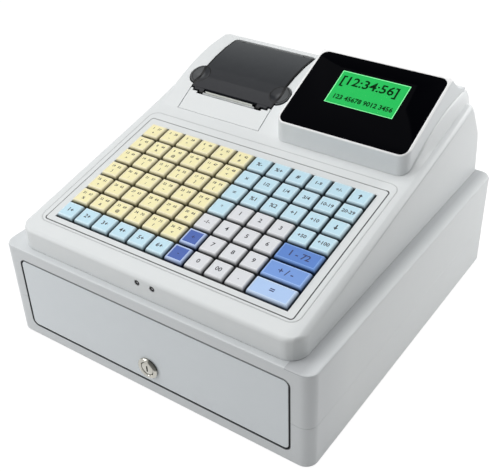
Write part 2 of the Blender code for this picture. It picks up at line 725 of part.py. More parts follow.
def make_base():
    outline = round_rect(-CASE_WIDTH / 2, CASE_WIDTH / 2, FRONT_Y, REAR_Y, BASE_CORNER)
    inside = round_rect(
        WALL - CASE_WIDTH / 2, CASE_WIDTH / 2 - WALL, FRONT_Y + WALL, REAR_Y - WALL, BASE_CORNER - WALL
    )
    opening = round_rect(-OPENING_HALF, OPENING_HALF, OPENING_LOW, OPENING_HIGH, OPENING_CORNER, 4)
    pan = solid("base_pan", slab(outline, FOOT_HEIGHT, BASE_PARTING - FIT), housing())
    cut(
        pan,
        slab(inside, FOOT_HEIGHT + WALL, BASE_PARTING + WALL),
        front_slab(opening, FRONT_Y - WALL, FRONT_Y + WALL * 2),
    )
    holes = bmesh.new()
    for x, y in foot_places():
        slab(circle(x, y, FOOT_PEG_RADIUS + FIT, 12), 0, FOOT_HEIGHT + WALL * 2, holes)
    cut(pan, holes)
    rings = [(0, BASE_PARTING), (0, BASE_TOP - BASE_EDGE)]
    rings += [(BASE_EDGE * 0.3, BASE_TOP - BASE_EDGE * 0.3), (BASE_EDGE, BASE_TOP)]
    shape = []
    for grow, z in rings:
        ring = round_rect(
            -CASE_WIDTH / 2 + grow, CASE_WIDTH / 2 - grow, FRONT_Y + grow, REAR_Y - grow, BASE_CORNER - grow
        )
        shape.append([(x, y, z) for x, y in ring])
    cover = solid("base_cover", loft(shape), housing())
    cut(
        cover,
        slab(inside, BASE_PARTING - WALL, BASE_TOP - WALL),
        front_slab(opening, FRONT_Y - WALL, FRONT_Y + WALL * 2),
        slab(circle(0, BOARD_FRONT + WALL * 8, POST_RADIUS * 2), BASE_TOP - WALL * 2, BASE_TOP + WALL),
    )
    posts = bmesh.new()
    for x in (-BOARD_HALF + POST_RADIUS * 2, BOARD_HALF - POST_RADIUS * 2):
        for y in (BOARD_FRONT + POST_RADIUS * 2, BOARD_REAR - POST_RADIUS * 2):
            slab(circle(x, y, POST_RADIUS, 10), BASE_TOP - WALL / 2, BASE_TOP + POST_HEIGHT, posts)
    join(cover, posts)
    for name, (x, y) in zip(("front_left", "front_right", "rear_left", "rear_right"), foot_places()):
        rubber = material("rubber", (0.03, 0.03, 0.03), 0.9)
        foot = slab(circle(x, y, FOOT_RADIUS, 16), 0, FOOT_HEIGHT - FIT)
        obj = solid(f"foot_{name}", foot, rubber, (x, y, 0))
        peg = slab(circle(x, y, FOOT_PEG_RADIUS, 12), FOOT_HEIGHT / 2, FOOT_HEIGHT + WALL)
        join(obj, peg)
    for name, side in (("left", -1), ("right", 1)):
        outer, inner = RUNNER_OUT, RUNNER_IN
        web, lip = outer - RUNNER_SHEET, inner + RUNNER_LIP
        floor, roof = RUNNER_LOW + RUNNER_SHEET, RUNNER_HIGH - RUNNER_SHEET
        line = [(outer, RUNNER_LOW), (inner, RUNNER_LOW), (inner, floor), (web, floor)]
        line += [(web, roof), (lip, roof), (lip, RUNNER_HIGH), (outer, RUNNER_HIGH)]
        line = [(x * side, z) for x, z in line]
        solid(f"runner_{name}", front_slab(line, RUNNER_FRONT, RUNNER_REAR), steel())


def foot_places():
    x, y = CASE_WIDTH / 2 - FOOT_INSET_X, CASE_DEPTH / 2 - FOOT_INSET_Y
    return (-x, -y), (x, -y), (-x, y), (x, y)


def make_drawer():
    face = round_rect(-FRONT_HALF, FRONT_HALF, FRONT_LOW, FRONT_HIGH, FRONT_CORNER, 4)
    inner = round_rect(
        -FRONT_HALF + FRONT_EDGE, FRONT_HALF - FRONT_EDGE, FRONT_LOW + FRONT_EDGE, FRONT_HIGH - FRONT_EDGE,
        FRONT_CORNER - FRONT_EDGE, 4,
    )
    rings = [(inner, FRONT_Y), (face, FRONT_Y + FRONT_EDGE), (face, FRONT_Y + WALL)]
    front = solid("drawer_front", loft([[(x, y, z) for x, z in ring] for ring, y in rings]), housing())
    cut(front, front_slab(circle(0, LOCK_Z, BARREL_RADIUS + FIT, 20), FRONT_Y - WALL, FRONT_Y + WALL * 2))
    start = FRONT_Y + WALL + FIT
    tub = solid("drawer_box", box(-BOX_HALF, BOX_HALF, start, BOX_REAR, BOX_LOW, BOX_HIGH), steel())
    flange = bmesh.new()
    for side in (-1, 1):
        x0, x1 = sorted((side * (BOX_HALF - BOX_WALL / 2), side * FLANGE_HALF))
        box(x0, x1, RUNNER_FRONT, BOX_REAR, FLANGE_LOW, FLANGE_HIGH, flange)
    join(tub, flange)
    wall = BOX_WALL
    half = BOX_HALF - wall
    cut(
        tub,
        box(-half, half, BOX_INNER_FRONT + wall, BOX_REAR - wall, BOX_LOW + wall, BOX_HIGH * 2),
        box(-half, half, start - wall, BOX_INNER_FRONT, 0, BOX_HIGH * 2),
    )
    half, y0 = STRIKER_HALF, BOX_REAR + FIT
    plate = box(-half, half, y0, BOX_REAR + STRIKER_SHEET, STRIKER_LOW, STRIKER_HIGH)
    striker = solid("drawer_striker", plate, steel())
    y0 = BOX_REAR + STRIKER_SHEET / 2
    tongue = [
        (y0, TONGUE_LOW), (TONGUE_REAR, TONGUE_LOW), (TONGUE_REAR, TONGUE_LIP),
        (TONGUE_REAR - STRIKER_SHEET, TONGUE_LIP), (TONGUE_REAR - STRIKER_SHEET, TONGUE_LOW + STRIKER_SHEET),
        (y0, TONGUE_LOW + STRIKER_SHEET),
    ]
    join(striker, side_slab(tongue, -TONGUE_HALF, TONGUE_HALF))


def cells(x0, x1, count, wall):
    step = (x1 - x0 - wall * (count + 1)) / count
    return [(x0 + wall + i * (step + wall), x0 + wall + i * (step + wall) + step) for i in range(count)]


def cup(x0, x1, y0, y1, z0, z1, bm):
    """A pocket with its floor narrower than its mouth."""
    slant = (z1 - z0) / 8
    rings = []
    for z, grow in ((z0, slant), (z0 + slant, 0), (z1, 0)):
        rings.append([(x, y, z) for x, y in rect(x0 + grow, x1 - grow, y0 + grow, y1 - grow)])
    loft(rings, bm)


def make_tray():
    tray = solid(
        "cash_tray", box(-TRAY_HALF, TRAY_HALF, TRAY_FRONT, TRAY_REAR, TRAY_LOW, TRAY_HIGH), black()
    )
    wall, floor = TRAY_WALL, TRAY_LOW + TRAY_FLOOR
    top = TRAY_HIGH + wall
    pockets = bmesh.new()
    for x0, x1 in cells(-TRAY_HALF, TRAY_HALF, COIN_CUPS, wall):
        cup(x0, x1, TRAY_FRONT + wall, TRAY_SPLIT, floor, top, pockets)
    slots = cells(-TRAY_HALF, TRAY_HALF, BILL_SLOTS, wall)
    for x0, x1 in slots:
        cup(x0, x1, TRAY_SPLIT + wall, TRAY_REAR - wall, floor, top, pockets)
    cut(tray, pockets)
    ears = bmesh.new()
    holes = bmesh.new()
    for x0, x1 in slots:
        middle = (x0 + x1) / 2
        for side in (-1, 1):
            near = middle + side * (CLIP_WIDTH / 2 + PIN_PLAY)
            a, b = sorted((near, near + side * EAR_THICKNESS))
            y, z, r = CLIP_AXIS_Y, CLIP_AXIS_Z, EAR_RADIUS
            line = [(y - r, z), (y - r * 0.7, z + r * 0.7), (y, z + r), (TRAY_REAR - wall / 2, z + r)]
            line += [(TRAY_REAR - wall / 2, z - r * 2.5), (y - r, z - r)]
            side_slab(line[::-1], a, b, ears)
            side_slab(circle(y, z, CLIP_PIN + PIN_PLAY, 10), a - wall, b + wall, holes)
    join(tray, ears)
    cut(tray, holes)
    for number, (x0, x1) in enumerate(slots, 1):
        make_clip(f"bill_clip_{number}", (x0 + x1) / 2)


def make_clip(name, x):
    """A sprung arm whose barrel turns on two pins and whose pad lies in the bill slot."""
    y, z = CLIP_AXIS_Y, CLIP_AXIS_Z
    half = CLIP_WIDTH / 2
    barrel = side_slab(circle(y, z, CLIP_BARREL, 14), x - half, x + half)
    clip = solid(name, barrel, material("clip plastic", (0.12, 0.12, 0.13), 0.45), (x, y, z))
    low = TRAY_LOW + TRAY_FLOOR + WALL / 2
    heel, toe = y - CLIP_LENGTH + CLIP_PAD, y - CLIP_LENGTH
    t = CLIP_THICKNESS
    line = [(y, z + t / 2), (heel, low + t), (toe, low + t * 1.6), (toe, low + t * 0.6)]
    line += [(heel, low), (y, z - t / 2)]
    join(
        clip,
        side_slab(line[::-1], x - half * 0.7, x + half * 0.7),
        side_slab(circle(y, z, CLIP_PIN, 10), x - half - EAR_THICKNESS, x + half + EAR_THICKNESS),
    )


def make_lock():
    centre = (0, FRONT_Y, LOCK_Z)
    chrome = material("chrome", (0.75, 0.75, 0.76), 0.12, 1)
    front = FRONT_Y - LOCK_PROUD
    rings = [
        (circle(0, LOCK_Z, BEZEL_RADIUS * 0.86, 24), front),
        (circle(0, LOCK_Z, BEZEL_RADIUS, 24), front + LOCK_PROUD * 0.4),
        (circle(0, LOCK_Z, BEZEL_RADIUS, 24), FRONT_Y - FIT),
    ]
    bezel = solid("lock_bezel", loft([[(x, y, z) for x, z in ring] for ring, y in rings]), chrome, centre)
    join(bezel, front_slab(circle(0, LOCK_Z, BARREL_RADIUS, 24), FRONT_Y - FIT * 2, CORE_REAR))
    cut(bezel, front_slab(circle(0, LOCK_Z, BEZEL_INNER, 20), front - WALL, CORE_REAR + WALL))
    core = front_slab(circle(0, LOCK_Z, CORE_RADIUS, 20), front + FRONT_EDGE, CORE_REAR - FIT)
    core = solid("lock_core", core, chrome, centre)
    half, high = KEYHOLE_WIDTH / 2, KEYHOLE_HEIGHT / 2
    cut(core, box(-half, half, front - WALL, front + KEYHOLE_DEPTH, LOCK_Z - high, LOCK_Z + high))
    join(core, front_slab(circle(0, LOCK_Z, CAM_HUB, 12), CORE_REAR - WALL, CORE_REAR + CAM_THICKNESS * 2))
    w = CAM_WIDTH / 2
    bend = CAM_REACH - w / 2
    outline = [(-w, LOCK_Z - w), (bend, LOCK_Z - w), (CAM_REACH, LOCK_Z), (bend, LOCK_Z + w)]
    outline += [(-w, LOCK_Z + w)]
    y0 = CORE_REAR + FIT * 2
    cam = solid("lock_cam", front_slab(outline, y0, y0 + CAM_THICKNESS), steel(), centre)
    cut(cam, front_slab(circle(0, LOCK_Z, CAM_HUB + FIT, 12), y0 - WALL, y0 + WALL * 2))


def make_latch():
    floor = FOOT_HEIGHT + WALL + FIT
    rear = REAR_Y - WALL - FIT
    foot = box(-CHEEK_OUT * 1.6, CHEEK_OUT * 1.6, CHEEK_FRONT, rear, floor, floor + LATCH_FOOT)
    frame = solid("latch_frame", foot, steel())
    cheeks = bmesh.new()
    for side in (-1, 1):
        x0, x1 = sorted((side * CHEEK_IN, side * CHEEK_OUT))
        box(x0, x1, CHEEK_FRONT, CHEEK_REAR, floor + LATCH_FOOT / 2, CHEEK_TOP, cheeks)
    coil = box(-COIL_HALF, COIL_HALF, COIL_FRONT, rear, COIL_LOW, COIL_HIGH)
    half = COIL_HALF / 2
    stand = box(-half, half, COIL_FRONT + WALL, rear, floor + LATCH_FOOT / 2, COIL_LOW + WALL)
    join(frame, cheeks, coil, stand)
    cut(frame, side_slab(circle(HOOK_Y, HOOK_Z, HOOK_PIN + PIN_PLAY, 14), -CHEEK_OUT * 2, CHEEK_OUT * 2))
    y, z, h = HOOK_Y, HOOK_Z, HOOK_HEIGHT / 2
    front = y - HOOK_ARM
    line = [
        (y + h, z + h), (front, z + h), (front, z - HOOK_NOSE), (front + HOOK_NOSE_DEPTH, z - HOOK_NOSE + h),
        (front + HOOK_NOSE_DEPTH, z - h), (y + h, z - h),
    ]
    hook = solid("latch_hook", side_slab(line[::-1], -HOOK_HALF, HOOK_HALF), steel(), (0, y, z))
    join(hook, side_slab(circle(y, z, HOOK_PIN, 14), -CHEEK_OUT - FIT, CHEEK_OUT + FIT),
         side_slab(circle(y, z, h * 1.5, 14), -CHEEK_IN + FIT * 2, CHEEK_IN - FIT * 2))


def make_spring():
    """A round-wire coil between the drawer and the base's rear wall, short while the drawer is shut."""
    start, end = BOX_REAR + SPRING_WIRE + FIT, REAR_Y - WALL - SPRING_WIRE - FIT
    steps, sides = 12, 6
    total = SPRING_TURNS * steps
    rings = []
    for i in range(total + 1):
        turn = math.tau * i / steps
        out = Vector((math.cos(turn), 0, math.sin(turn)))
        y = start + (end - start) * i / total
        middle = Vector((SPRING_X, y, SPRING_Z)) + out * SPRING_RADIUS
        ring = []
        for k in range(sides):
            angle = math.tau * k / sides
            ring.append(middle + SPRING_WIRE * (out * math.cos(angle) + Vector((0, math.sin(angle), 0))))
        rings.append(ring)
    solid("ejector_spring", loft(rings), steel())


def key_mesh(bm, column, row, span, stem_end):
    """One tapered cap on its square stem. Its place is counted in columns across and rows down the slope."""
    x0 = KEY_FIRST_X + column * KEY_PITCH_X
    x1 = x0 + (span - 1) * KEY_PITCH_X + KEY_WIDTH
    s1 = KEY_FIRST_S - row * KEY_PITCH_S
    s0 = s1 - KEY_DEPTH
    half = KEY_STEM / 2
    xm, sm = (x0 + x1) / 2, (s0 + s1) / 2
    low = KEY_TOP - KEY_HEIGHT
    t = KEY_TAPER
    rings = [
        (rect(xm - half, xm + half, sm - half, sm + half), stem_end),
        (rect(xm - half, xm + half, sm - half, sm + half), low),
        (rect(x0, x1, s0, s1), low),
        (rect(x0 + t * 0.3, x1 - t * 0.3, s0 + t * 0.3, s1 - t * 0.3), KEY_TOP - t * 0.8),
        (rect(x0 + t, x1 - t, s0 + t, s1 - t), KEY_TOP),
    ]
    loft([[slope(x, s, n) for x, s in ring] for ring, n in rings], bm)
    return xm, sm


# The keys that move: the column and the row of each, and how many columns it spans
SPRUNG_KEYS = {
    "key_1": (7, 3, 1), "key_2": (8, 3, 1), "key_3": (9, 3, 1), "key_4": (7, 4, 1), "key_5": (8, 4, 1),
    "key_6": (9, 4, 1), "key_7": (7, 5, 1), "key_8": (8, 5, 1), "key_9": (9, 5, 1), "key_0": (7, 6, 1),
    "key_00": (8, 6, 1), "key_point": (9, 6, 1), "key_wide_upper": (10, 4, 2),
    "key_wide_middle": (10, 5, 2), "key_wide_lower": (10, 6, 2), "key_dark_upper": (6, 5, 1),
    "key_dark_lower": (6, 6, 1), "key_up": (11, 0, 1), "key_down": (11, 2, 1),
}


def key_colour(name):
    if "wide" in name or "dark" in name:
        return material("blue key", (0.10, 0.20, 0.60), 0.4)
    if name in ("key_up", "key_down"):
        return material("light blue key", (0.50, 0.76, 0.86), 0.4)
    return material("pale key", (0.74, 0.75, 0.77), 0.4)


def make_keyboard():
    ledge = BEZEL_THICKNESS + FIT
    bezel = round_rect(
        -BEZEL_HALF + FIT, BEZEL_HALF - FIT, BEZEL_FRONT_S + FIT, BEZEL_REAR_S - FIT, BEZEL_CORNER, 3
    )
    panel = solid("key_panel", slope_slab(bezel, FIT - ledge, 0), housing())
    x1 = KEY_FIRST_X + (KEY_COLUMNS - 1) * KEY_PITCH_X + KEY_WIDTH + WINDOW_GAP
    s0 = KEY_FIRST_S - (KEY_ROWS - 1) * KEY_PITCH_S - KEY_DEPTH - WINDOW_GAP
    window = rect(KEY_FIRST_X - WINDOW_GAP, x1, s0, KEY_FIRST_S + WINDOW_GAP)
    cut(panel, slope_slab(window, -WALL, WALL))
    outer = rect(-PLATE_HALF, PLATE_HALF, PLATE_FRONT_S, PLATE_REAR_S)
    rim = PLATE_RIM
    inner = rect(-PLATE_HALF + rim, PLATE_HALF - rim, PLATE_FRONT_S + rim, PLATE_REAR_S - rim)
    bottom = PLATE_TOP - PLATE_THICKNESS
    plate = solid("key_plate", slope_slab(outer, bottom, -ledge), dark())
    cut(plate, slope_slab(inner, PLATE_TOP, WALL))
    moving = set()
    holes = bmesh.new()
    for name, (column, row, span) in SPRUNG_KEYS.items():
        moving |= {(column + i, row) for i in range(span)}
        bm = bmesh.new()
        xm, sm = key_mesh(bm, column, row, span, KEY_STEM_END)
        solid(name, bm, key_colour(name), slope(xm, sm, KEY_TOP))
        half = KEY_STEM / 2 + PIN_PLAY
        hole = rect(xm - half, xm + half, sm - half, sm + half)
        slope_slab(hole, bottom - WALL, PLATE_TOP + WALL, holes)
    cut(plate, holes)
    caps = bmesh.new()
    for column in range(KEY_COLUMNS):
        for row in range(KEY_ROWS):
            if (column, row) not in moving:
                key_mesh(caps, column, row, 1, PLATE_TOP - PLATE_THICKNESS / 2)
    join(plate, caps)


def make_printer():
    px, wall = PRINTER_X, BUCKET_WALL
    roof = WALL + FIT * 2
    start = BUCKET_NOSE
    ys = [start + (HINGE_Y + HINGE_RADIUS - start) * i / 6 for i in range(7)]
    half = BUCKET_HALF - FIT
    line = [(start, HEAD_SEAT - WALL), (BUCKET_FRONT, BUCKET_LOW), (ys[-1], BUCKET_LOW)]
    line += [(y, tier_z(y) - roof) for y in reversed(ys)]
    frame = solid("printer_frame", side_slab(line, px - half, px + half), dark())
    inside = half - wall
    sky = TIER_TOP * 1.1
    bay = rect(BUCKET_FRONT + wall, ys[-1] - wall, BUCKET_LOW + wall, sky)
    step, back = HEAD_REAR - wall, BUCKET_FRONT + wall * 1.5
    nose = [(start - wall, HEAD_SEAT), (step, HEAD_SEAT), (step, BUCKET_LIP)]
    nose += [(back, BUCKET_LIP), (back, sky), (start - wall, sky)]
    cut(frame, side_slab(bay, px - inside, px + inside), side_slab(nose, px - inside, px + inside))
    rib = [(start + FIT, HEAD_SEAT - WALL / 2), (start + wall, HEAD_SEAT - WALL / 2)]
    rib += [(y, tier_z(y) - FLUSH_THICKNESS - FIT) for y in (start + wall, start + FIT)]
    reach = min(half, COVER_HALF) - wall / 2
    join(frame, side_slab(rib, px - reach, px + reach))
    z = hinge_z()
    r = HINGE_PIN + EAR_THICKNESS / 2
    cut(frame, side_slab(circle(HINGE_Y, z, HINGE_RADIUS + RUN, 20), px - half - wall, px + half + wall))
    fins = bmesh.new()
    for side in (-1, 1):
        x0, x1 = sorted((px + side * HINGE_FIN, px + side * (HINGE_FIN + FIN_THICKNESS)))
        rear = HINGE_Y + HINGE_RADIUS - wall / 2
        line = [(rear, z - HINGE_RADIUS * 2.4), (rear, z - HINGE_RADIUS * 1.2)]
        line += arc(HINGE_Y, z, r, 0, math.pi) + [(HINGE_Y - r, z - r)]
        side_slab(line, x0, x1, fins)
    join(frame, fins)
    cut(frame, side_slab(circle(HINGE_Y, z, HINGE_PIN + PIN_PLAY, 14), px - half - wall, px + half + wall))
    make_cover(z)
    platen = side_slab(circle(PLATEN_Y, PLATEN_Z, PLATEN_RADIUS, 20), px - PLATEN_HALF, px + PLATEN_HALF)
    roller = solid("platen_roller", platen, black(), (px, PLATEN_Y, PLATEN_Z))
    shaft = PLATEN_HALF + LUG_THICKNESS + WALL
    join(roller, side_slab(circle(PLATEN_Y, PLATEN_Z, PLATEN_SHAFT, 12), px - shaft, px + shaft))
    paper = material("paper", (0.85, 0.86, 0.82), 0.8)
    roll = side_slab(circle(ROLL_Y, ROLL_Z, ROLL_RADIUS, 32), px - ROLL_HALF, px + ROLL_HALF)
    roll = solid("paper_roll", roll, paper, (px, ROLL_Y, ROLL_Z))
    cut(roll, side_slab(circle(ROLL_Y, ROLL_Z, ROLL_CORE, 16), px - ROLL_HALF * 2, px + ROLL_HALF * 2))
    make_paper(paper)
    x0, x1 = px - SLOT_HALF, px + SLOT_HALF
    head = box(x0, x1, HEAD_REAR - HEAD_DEPTH, HEAD_REAR, HEAD_SEAT + FIT, HEAD_SEAT + HEAD_HEIGHT)
    solid("thermal_head", head, material("head ceramic", (0.45, 0.47, 0.48), 0.4))
    front = PLATE_REAR_Y + FIT * 2
    low = HEAD_SEAT + HEAD_HEIGHT + FIT
    high = tier_z(front) + TEAR_PROUD
    solid("tear_bar", box(x0, x1, front, front + TEAR_DEPTH, low, high), steel())
    half, end = COVER_HALF - FIT, PLATE_REAR_Y + COVER_SPACE * STEP_END_SHARE
    plate = top_slab(px - half, px + half, PLATE_FRONT_Y + FIT * 2, end, 0, FLUSH_THICKNESS)
    plate = solid("printer_front_plate", plate, housing())
    notch = stepped(1, STEP_SHARES, PLATE_REAR_Y, COVER_SPACE)
    notch += [(px * 2 - x, y) for x, y in notch[::-1]]
    cut(plate, slab(notch, HEAD_SEAT, TIER_TOP))


def make_cover(z):
    px, half, under = PRINTER_X, COVER_HALF, COVER_THICKNESS - COVER_PROUD
    body = top_slab(px - half, px + half, COVER_FRONT, HINGE_Y, COVER_PROUD, under)
    cover = solid("printer_cover", body, dark(), (px, HINGE_Y, z))
    ears = bmesh.new()
    for side in (-1, 1):
        x = px + side * (COVER_HALF - EAR_INSET)
        points = circle(x, COVER_EAR_Y, COVER_EAR_RADIUS, 18)
        on_tier(points, COVER_PROUD, EAR_DEPTH, ears)
    barrel = side_slab(circle(HINGE_Y, z, HINGE_RADIUS, 20), px - COVER_HALF, px + COVER_HALF)
    lugs = bmesh.new()
    for side in (-1, 1):
        near = px + side * (PLATEN_HALF + RUN)
        x0, x1 = sorted((near, near + side * LUG_THICKNESS))
        r = LUG_RADIUS
        top = tier_z(PLATEN_Y) + COVER_PROUD - COVER_THICKNESS / 2
        line = arc(PLATEN_Y, PLATEN_Z, r, math.pi, math.tau)
        line += [(PLATEN_Y + r, top), (PLATEN_Y - r, top - WALL / 3)]
        side_slab(line, x0, x1, lugs)
        on_tier(stepped(side, TOOTH_SHARES, COVER_FRONT, COVER_SPACE), TOOTH_PROUD, TOOTH_SUNK, ears)
    join(cover, ears, barrel, lugs)
    slots = bmesh.new()
    for side in (-1, 1):
        near = HINGE_FIN - RUN
        x0, x1 = sorted((px + side * near, px + side * (HINGE_FIN + FIN_THICKNESS + RUN)))
        r = HINGE_PIN + EAR_THICKNESS / 2 + FIT
        low = z - HINGE_RADIUS * 2
        far = HINGE_RADIUS * 1.5
        line = [(HINGE_Y - far, low), (HINGE_Y + far, low), (HINGE_Y + far, z + far), (HINGE_Y, z + far)]
        line += arc(HINGE_Y, z, r, math.pi / 2, math.pi)
        line += [(HINGE_Y - far, z)]
        side_slab(line, x0, x1, slots)
    cut(cover, slots)
    join(cover, side_slab(circle(HINGE_Y, z, HINGE_PIN, 14), px - COVER_HALF * 0.9, px + COVER_HALF * 0.9))
    half = PLATEN_HALF + RUN * 2 + LUG_THICKNESS + WALL
    cut(cover, side_slab(circle(PLATEN_Y, PLATEN_Z, PLATEN_SHAFT + PIN_PLAY, 14), px - half, px + half))


def make_paper(paper):
    """The strip from the roll, under and in front of the platen, and out past the tear bar."""
    px = PRINTER_X
    near = PLATEN_RADIUS + RUN + PAPER / 2
    top = tier_z(PAPER_EXIT_Y) + TEAR_PROUD * 2
    path = [(PAPER_EXIT_Y, top), (PAPER_EXIT_Y + FIT, top - WALL), (PAPER_BEND_Y, PAPER_BEND_Z)]
    path.append((PLATEN_Y - near, PLATEN_Z))
    for i in range(1, 5):
        angle = math.pi + math.radians(80) * i / 4
        path.append((PLATEN_Y + near * math.cos(angle), PLATEN_Z + near * math.sin(angle)))
    reach = ROLL_RADIUS + FIT + PAPER / 2
    start, centre = Vector(path[-1]), Vector((ROLL_Y, ROLL_Z))
    away = start - centre
    turn = math.acos(reach / away.length)
    first = math.atan2(away.y, away.x) % math.tau + turn
    for i in range(4):
        angle = first + math.radians(8) * i
        path.append((ROLL_Y + reach * math.cos(angle), ROLL_Z + reach * math.sin(angle)))
    line = offset_line(path, -PAPER / 2) + offset_line(path, PAPER / 2)[::-1]
    half = ROLL_HALF - FIT
    solid("paper_web", side_slab(line, px - half, px + half), paper)


def pod_z(y, inset=0):
    """The display housing's top: the glass's slope, then a hollow curve down to the tier."""
    slope_top = POD_RIM_Z + (y - POD_FRONT) * math.tan(GLASS_TILT)
    if y <= POD_TOP_Y:
        return slope_top - inset / math.cos(GLASS_TILT)
    crest = POD_RIM_Z + (POD_TOP_Y - POD_FRONT) * math.tan(GLASS_TILT)
    share = min(1, (y - POD_TOP_Y) / (POD_REAR - POD_TOP_Y))
    foot = tier_z(POD_REAR) + WALL
    return foot + (crest - foot) * (1 - share) ** 1.7 - inset * 1.3


def pod_rings(inset):
    """Rings of the housing from its foot on the tier up to its rim, all with the same points round."""
    x0, x1 = POD_LEFT + inset, POD_RIGHT - inset
    y0, y1 = POD_FRONT + inset, POD_REAR - inset
    corner = POD_CORNER - inset
    crest = [POD_TOP_Y + (POD_REAR - POD_TOP_Y) * share for share in (-0.06, 0.03, 0.2, 0.45, 0.7)]
    tier = [y for y in TOP_STATIONS if y0 + corner < y < y1 and min(abs(y - c) for c in crest) > POD_EDGE]
    middles = [y0 + corner] + sorted(crest + tier) + [y1]

    def ring(grow):
        points = []
        steps = 5
        left, right = [], []
        for i in range(steps + 1):
            angle = math.pi / 2 * i / steps
            dx = corner * (1 - math.sin(angle))
            y = y0 + corner * (1 - math.cos(angle))
            left.append((x0 + dx, y))
            right.append((x1 - dx, y))
        left += [(x0, y) for y in middles[1:]]
        right += [(x1, y) for y in middles[1:]]
        cx, cy = (x0 + x1) / 2, (y0 + y1) / 2
        for x, y in right + left[::-1]:
            sx = 1 - grow * 2 / (x1 - x0)
            sy = 1 - grow * 2 / (y1 - y0)
            points.append((cx + (x - cx) * sx, cy + (y - cy) * sy))
        return points

    return ring


def pod_body(inset):
    """Strips between the two sides, each at one depth, so the top can follow its curve."""
    ring = pod_rings(inset)
    edge = POD_EDGE if not inset else 0
    bm = bmesh.new()
    loops = []
    levels = [(0, None), (0, edge), (edge * 0.3, edge * 0.3), (edge, 0)] if edge else [(0, None), (0, 0)]
    for grow, drop in levels:
        loop = []
        for x, y in ring(grow):
            z = tier_z(y) + FIT if drop is None else pod_z(y, inset) - drop
            if drop is None and inset:
                z -= WALL
            loop.append(bm.verts.new((x, y, z)))
        loops.append(loop)
    count = len(loops[0])
    for low, high in zip(loops, loops[1:]):
        for i in range(count):
            j = (i + 1) % count
            bm.faces.new((low[i], low[j], high[j], high[i]))
    half = count // 2
    for loop in (loops[0], loops[-1]):
        for i in range(half - 1):
            a, b, c, d = loop[i], loop[i + 1], loop[count - 2 - i], loop[count - 1 - i]
            bm.faces.new((a, b, c, d) if loop is loops[-1] else (d, c, b, a))
    return bm


def glass(x, s, n):
    """A point on the display's plane: x across from its middle, s up it from its middle, n out of it."""
    c, t = math.cos(GLASS_TILT), math.sin(GLASS_TILT)
    y = (POD_FRONT + POD_TOP_Y) / 2
    z = POD_RIM_Z + (y - POD_FRONT) * math.tan(GLASS_TILT)
    return ((POD_LEFT + POD_RIGHT) / 2 + x, y + s * c - n * t, z + s * t + n * c)


def glass_slab(outline, n0, n1):
    return loft([[glass(x, s, n) for x, s in outline] for n in (n0, n1)])


def make_display():
    pod = solid("display_housing", pod_body(0), housing())
    w, h = GLASS_WIDTH / 2, GLASS_HEIGHT / 2
    seat = round_rect(-w - FIT, w + FIT, -h - FIT, h + FIT, GLASS_CORNER)
    g = GLASS_LEDGE
    window = round_rect(-w + g, w - g, -h + g, h - g, GLASS_CORNER - g, 3)
    cut(
        pod,
        pod_body(POD_WALL),
        glass_slab(seat, -GLASS_THICKNESS - FIT, WALL),
        glass_slab(window, -WALL * 4, WALL),
    )
    pane = round_rect(-w, w, -h, h, GLASS_CORNER)
    black_glass = material("black glass", (0.01, 0.01, 0.013), 0.08)
    solid("display_glass", glass_slab(pane, -GLASS_THICKNESS, 0), black_glass)
    w, h = LCD_WIDTH / 2, LCD_HEIGHT / 2
    top = -GLASS_THICKNESS - FIT
    screen = rect(-w, w, LCD_SHIFT_S - h, LCD_SHIFT_S + h)
    screen_mat = material("green screen", (0.05, 0.55, 0.18), 0.3)
    solid("lcd_module", glass_slab(screen, top - LCD_THICKNESS, top), screen_mat)


def make_lamps():
    for name, side in (("left", -1), ("right", 1)):
        x = side * LAMP_X
        origin = (x, CONSOLE_FRONT, LAMP_Z)
        end = CONSOLE_FRONT + WALL + FIT * 2
        lens = front_slab(circle(x, LAMP_Z, LAMP_RADIUS, 12), CONSOLE_FRONT + FIT, end)
        lamp = solid(f"lamp_{name}", lens, black(), origin)
        back = CONSOLE_FRONT + WALL + FIT
        join(lamp, front_slab(circle(x, LAMP_Z, LAMP_FLANGE, 12), back, back + WALL))


def make_board():
    green = material("circuit board", (0.04, 0.22, 0.10), 0.5)
    z = BASE_TOP + POST_HEIGHT + FIT
    plate = box(-BOARD_HALF, BOARD_HALF, BOARD_FRONT, BOARD_REAR, z, z + BOARD_THICKNESS)
    board = solid("main_board", plate, green)
    top = z + BOARD_THICKNESS / 2
    parts = bmesh.new()
    size = Vector((BOARD_HALF, BOARD_DEPTH, POST_HEIGHT))
    for x, y, wide, deep, high in COMPONENT_SHARES:
        x0, y0 = x * size.x, y * size.y + BOARD_FRONT
        box(x0, x0 + wide * size.x, y0, y0 + deep * size.y, top, top + high * size.z, parts)
    join(board, parts)


def lean():
    """The rear wall's tilt from upright, taken over its straight foot."""
    return math.atan2(CONSOLE_REAR - REAR_BEND_Y, REAR_BEND_Z - BASE_TOP)


def rear_point(x, up, out):
    """A point on the rear wall: x across, up along the wall from the inlet's middle, out of the wall."""
    a = lean()
    y = CONSOLE_REAR - (INLET_Z - BASE_TOP) * math.tan(a)
    return (x, y - up * math.sin(a) + out * math.cos(a), INLET_Z + up * math.cos(a) + out * math.sin(a))


def rear_slab(outline, out0, out1, bm=None):
    return loft([[rear_point(x, up, out) for x, up in outline] for out in (out0, out1)], bm)


